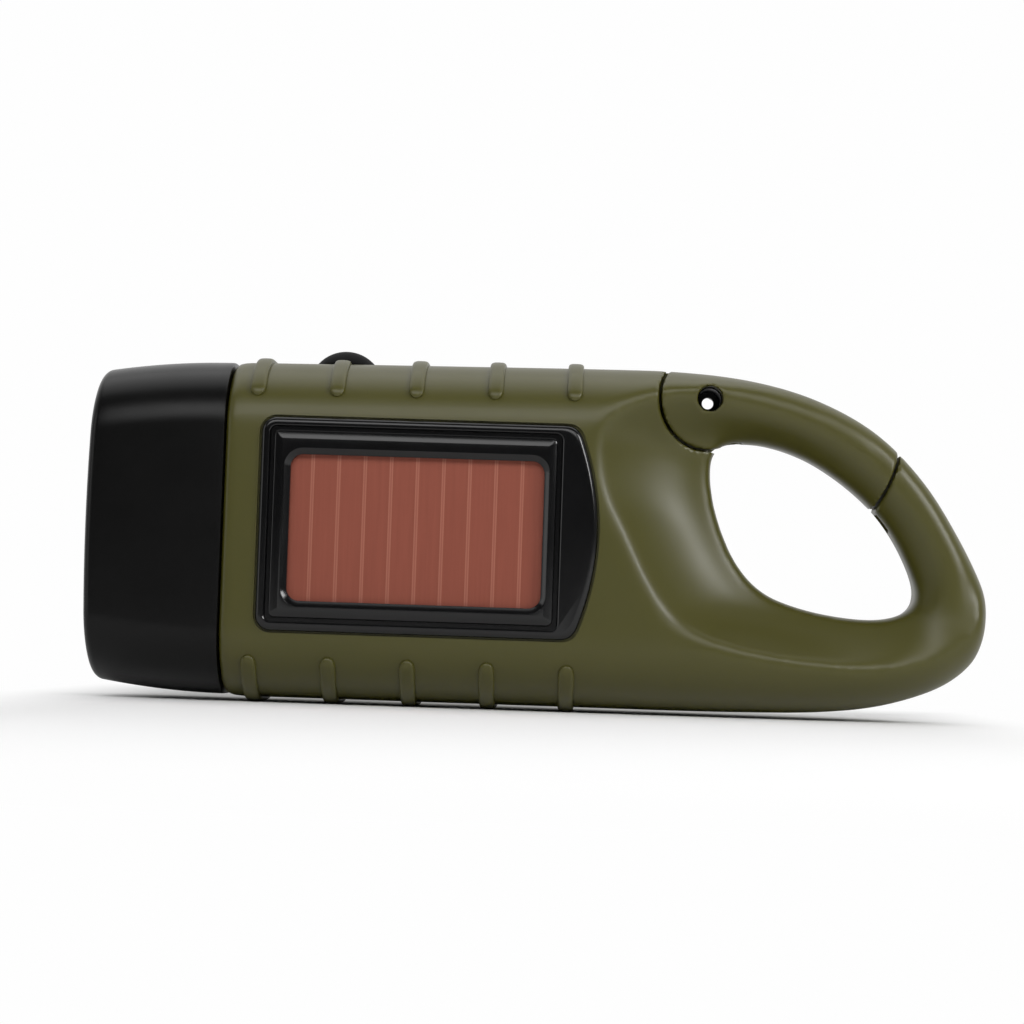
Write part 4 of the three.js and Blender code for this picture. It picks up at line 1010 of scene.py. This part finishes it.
dress(button, "button_dome", rubber, "button", ["switch_button"])


# The five shell screws: plated self-tapping screws with pan heads and cross recesses, at the bottom of
# the deep recesses in the crank side. Their threads bite in the solar side's bosses.
steel = Finish("plated_steel", Metallic=1.0)
steel.coat((200, 3), (150, 151, 154), (176, 177, 179), (700, 4, 0.24, 0.4), (2600, 2, 0.01 * mm, 0.2))


def screw(low, high, head, shank, tall, pitch, cross):
    """A pan-head screw along Y between two corners, with a ring for each turn of its thread."""
    length = high.y - low.y - tall
    core = shank * 0.78
    side = [(0, 0), (shank * 0.45, 0.1 * mm)]
    turns = int((length - 0.8 * mm) / pitch)
    for turn in range(turns):
        start = 0.5 * mm + turn * pitch
        side += [(core, start), (shank, start + pitch * 0.42), (shank, start + pitch * 0.55)]
    side += [(core, 0.5 * mm + turns * pitch), (core, length), (head - 0.15 * mm, length)]
    side += [(head, length + 0.15 * mm), (head, length + tall * 0.4)]
    side += [
        (head * math.cos(angle * 0.75), length + tall * (0.4 + 0.6 * math.sin(angle))) for angle in arc(8)
    ]
    side.append((0, length + tall))
    place = (low + high) / 2
    turned = spin(side, (place.x, low.y, place.z), (0, 1, 0), 48)
    half = cross * 0.16
    bottom, top = high.y - tall * 0.55, high.y + 0.5 * mm
    return carve(turned, [
        slab((place.x - long, bottom, place.z - wide), (place.x + long, top, place.z + wide))
        for long, wide in ((cross, half), (half, cross))
    ])


for number, (low, high) in enumerate(screw_boxes, 1):
    case_screw = screw(
        low, high, head=2.2 * mm, shank=1.1 * mm, tall=1.6 * mm, pitch=0.85 * mm, cross=1.4 * mm,
    )
    dress(case_screw, f"case_screw_{number}", steel, "root", [f"shell_screw_{number}"], 35)


# The gate's spring: a coil of steel wire round the pin, in the gate's slot beside the tongue.
spring_low, spring_high = corners("gate_spring")
spring_turns = 3
wire = 0.2 * mm
coil_radius = (spring_high.x - spring_low.x) / 2 - wire


def spring_point(turn, way):
    angle = way * spring_turns * 2 * math.pi
    around = turn * 2 * math.pi
    reach = coil_radius + wire * math.cos(around)
    y = spring_low.y + wire + (spring_high.y - spring_low.y - 2 * wire) * way + wire * math.sin(around)
    return Vector((pivot[0] + reach * math.cos(angle), y, pivot[2] + reach * math.sin(angle)))


dress(skin(10, 150, spring_point), "gate_coil", steel, "root", ["gate_spring"], 60)


# The crank: a black moulded arm with a window that the knob folds into. A screw under a flush cap holds it
# on the steel shaft, which goes through the shell to the first of the gears.
arm_low, arm_high = corners("crank_arm")
knob_low, knob_high = corners("crank_knob")
fold_low, fold_high = corners("knob_hinge_pin")
stem_low, stem_high = corners("knob_stem")
cap_low, cap_high = corners("crank_cap")
screw_low, screw_high = corners("crank_screw")
fold = (fold_low + fold_high) / 2
fold_hole = 1.1 * mm
arm_half = (arm_high.z - arm_low.z) / 2
tip_corner = 3.5 * mm
round_steps = 48
corner_steps = 12
arm_points = []
for step in range(round_steps + 1):
    angle = (step / round_steps - 0.5) * math.pi
    arm_points.append((shaft.x + arm_half * math.cos(angle), shaft.z + arm_half * math.sin(angle)))
for side, quarter in ((1, 1), (-1, 2)):
    for step in range(corner_steps + 1):
        angle = (quarter + step / corner_steps) * math.pi / 2
        z = shaft.z + side * (arm_half - tip_corner)
        arm_points.append((
            arm_low.x + tip_corner + tip_corner * math.cos(angle), z + tip_corner * math.sin(angle),
        ))
window_half = 4.4 * mm
arm_window = round_box(
    fold.x - 3 * mm, shaft.x - 12.4 * mm, shaft.z - window_half, shaft.z + window_half, 1.2 * mm,
)
arm = prism(arm_points, arm_low.y, arm_high.y)
carve(arm, [prism(arm_window(0), arm_low.y - 1 * mm, arm_high.y + 1 * mm)])
soften(arm, 0.3 * mm, 4)
cap_radius = (cap_high.x - cap_low.x) / 2
cap_seat = screw_high.y - 0.9 * mm
hub_groove = [
    (5.35, -0.35), (5.5, -0.45), (5.85, -0.45), (6.0, -0.35), (6.05, 0.5), (5.3, 0.5), (5.35, -0.35),
]
hub = (shaft.x, arm_high.y, shaft.z)
carve(arm, [
    bar("Y", shaft, shaft_hole, arm_low.y - 1 * mm, arm_high.y),
    bar("Y", shaft, cap_radius + gap, cap_seat, arm_high.y + 1 * mm, 96),
    bar("Z", fold, fold_hole, arm_low.z - 1 * mm, arm_high.z + 1 * mm, 48),
    spin([(radius * mm, height * mm) for radius, height in hub_groove], hub, (0, 1, 0), 96),
])
dress(arm, "folding_arm", black, "crank", ["crank_arm"], 50)
cap_tall = cap_high.y - cap_low.y
cap_side = [(0, 0), (cap_radius, 0), (cap_radius, cap_tall - 0.25 * mm)]
cap_side += [
    (cap_radius - inset * mm, cap_tall - drop * mm)
    for inset, drop in ((0.08, 0.08), (0.25, 0), (0.9, 0), (1.2, 0.16))
]
cap_side.append((0, cap_tall - 0.2 * mm))
cap = spin(cap_side, (shaft.x, cap_low.y, shaft.z), (0, 1, 0), 96)
dress(cap, "arm_cap", black, "crank", ["crank_cap"])
arm_screw = screw(
    screw_low, screw_high, head=cap_radius, shank=1.1 * mm, tall=0.9 * mm, pitch=0.6 * mm, cross=1.3 * mm,
)
dress(arm_screw, "arm_screw", steel, "crank", ["crank_screw"], 35)


# The folding knob: a black waisted grip with shallow grooves, which turns on a headed stem. The stem's eye
# swings on a steel pin through the arm's tip.
fold_radius = (fold_high.x - fold_low.x) / 2
fold_tall = fold_high.z - fold_low.z
fold_edge = 0.2 * mm
fold_side = [(0, 0), (fold_radius - fold_edge, 0), (fold_radius, fold_edge)]
fold_side += [(fold_radius, fold_tall - fold_edge), (fold_radius - fold_edge, fold_tall), (0, fold_tall)]
fold_pin = spin(fold_side, (fold.x, fold.y, fold_low.z), (0, 0, 1), 48)
dress(fold_pin, "fold_pin", steel, "crank", ["knob_hinge_pin"])
stem_line = (0, fold.y, shaft.z)
eye_half = 2.2 * mm
eye = bar("Z", fold, fold.x - stem_low.x, shaft.z - eye_half, shaft.z + eye_half, 64)
carve(eye, [bar("X", stem_line, 1.4 * mm, fold.x, stem_high.x - 0.4 * mm, 48)], "UNION")
carve(eye, [bar("X", stem_line, 2.4 * mm, stem_high.x - 0.8 * mm, stem_high.x, 64)], "UNION")
soften(eye, 0.16 * mm, 2)
carve(eye, [bar("Z", fold, fold_hole, arm_low.z, arm_high.z, 48)])
dress(eye, "knob_fork_stem", black, "knob_fork", ["knob_stem"], 50)
knob_long = knob_high.x - knob_low.x
knob_radius = (knob_high.z - knob_low.z) / 2
knob_edge = 0.75 * mm
knob_waist = 0.6 * mm
knob_bore = 1.7 * mm
knob_steps = 60
groove_depth = 0.22 * mm
groove_count = 6
knob_side = [(knob_bore, 0), (knob_radius - knob_edge, 0)]
for step in range(knob_steps + 1):
    share = step / knob_steps
    belly = knob_radius - knob_waist * math.sin(share * math.pi) ** 1.2
    end = min(share, 1 - share) * knob_long
    if end < knob_edge:
        belly -= knob_edge * (1 - math.sqrt(1 - (1 - end / knob_edge) ** 2))
    if 0.2 < share < 0.8:
        belly -= groove_depth * max(0, math.sin((share - 0.2) / 0.6 * groove_count * 2 * math.pi)) ** 2
    knob_side.append((belly, share * knob_long))
knob_side += [(knob_radius - knob_edge, knob_long), (knob_bore, knob_long), (knob_bore, 0)]
knob = spin(knob_side, (knob_low.x, fold.y, shaft.z), (1, 0, 0), 96)
dress(knob, "folding_knob", black, "knob", ["crank_knob"], 50)


# The gears behind the crank: natural nylon, a little mottled, on steel axles between two nylon plates, with
# a pinion of turned brass on the generator's shaft. They keep the shapes that they are loaded with.
def finish_nodes(finish, *names):
    for name in names:
        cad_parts[name].material_slots[0].material = finish.material


nylon = Finish("natural_nylon", Subsurface_Weight=0.1)
nylon.coat((120, 4), (222, 216, 198), (236, 231, 216), (300, 3, 0.38, 0.5), (1500, 2, 0.01 * mm, 0.3))
finish_nodes(
    nylon, "drive_gear", "first_gear", "second_gear", "gear_plate_outer", "gear_plate_inner",
    "switch_plunger", *(f"plate_post_{number}" for number in range(1, 5)),
)
brass = Finish("turned_brass", Metallic=1.0)
brass.coat((160, 3), (196, 152, 84), (214, 174, 104), (500, 3, 0.2, 0.34))
finish_nodes(brass, "rotor_pinion")
finish_nodes(steel, "first_axle", "second_axle", "rotor_shaft", "crank_shaft", "stator_cup")


# The generator's winding of enamelled copper wire, laid in rings round the magnet, and the two thin leads
# to the lamp's board. The magnet is dark and sintered.
wire_half = 0.15 * mm
copper = Finish("enamelled_copper", Metallic=0.85)
copper.coat((400, 3), (172, 84, 46), (198, 108, 66), (600, 3, 0.28, 0.42))
copper.bump(copper.math("PINGPONG", copper.axis("Y"), wire_half) * (1 / wire_half), 0.08 * mm, 0.7)
finish_nodes(copper, "stator_coil", "lamp_lead_1", "lamp_lead_2")
sinter = Finish("sintered_magnet", Metallic=0.6)
sinter.coat((500, 5), (74, 75, 78), (98, 99, 102), (800, 4, 0.45, 0.65), (1400, 4, 0.03 * mm, 0.5))
finish_nodes(sinter, "rotor_magnet")


# The boards: green solder mask over copper tracks, which show as paler lines with round pads between.
board = Finish("circuit_board", Specular_IOR_Level=0.6)
tracks = board.math("PINGPONG", board.axis("Z"), 0.8 * mm) < 0.16 * mm
lanes = tracks * (board.noise(160, 0) > 0.5)
pads = board.node(
    "ShaderNodeTexVoronoi", {"feature": "F1"}, {"Vector": board.place(), "Scale": 330.0}, "Distance",
) < 0.2
board.tint(pads, board.mix(lanes, (22, 84, 50), (44, 116, 72)), (196, 196, 188))
board.set("Metallic", pads * 0.8)
board.wear(260, 3, 0.3, 0.42)
board.bump(lanes + pads, 0.03 * mm, 0.5)
finish_nodes(board, "main_board", "switch_board", "lamp_board")


# The two coin cells in their black holder, the capacitor in its sleeve with a bare metal end, and the
# switch's black housing.
cell_can = Finish("coin_cell_can", Metallic=1.0)
cell_can.coat((60, 3), (186, 187, 188), (205, 206, 206), (900, 4, 0.2, 0.36), (2200, 2, 0.01 * mm, 0.25))
finish_nodes(cell_can, "coin_cell_1", "coin_cell_2")
finish_nodes(black, "cell_holder", "tact_switch")
sleeve = Finish("capacitor_sleeve")
bare_end = sleeve.axis("Y") > corners("capacitor")[1].y - 0.1 * mm
sleeve.tint(bare_end, sleeve.mix(sleeve.noise(200, 3), (20, 20, 24), (30, 30, 36)), (190, 191, 192))
sleeve.set("Metallic", bare_end * 1.0)
sleeve.wear(500, 3, 0.28, 0.4)
finish_nodes(sleeve, "capacitor")
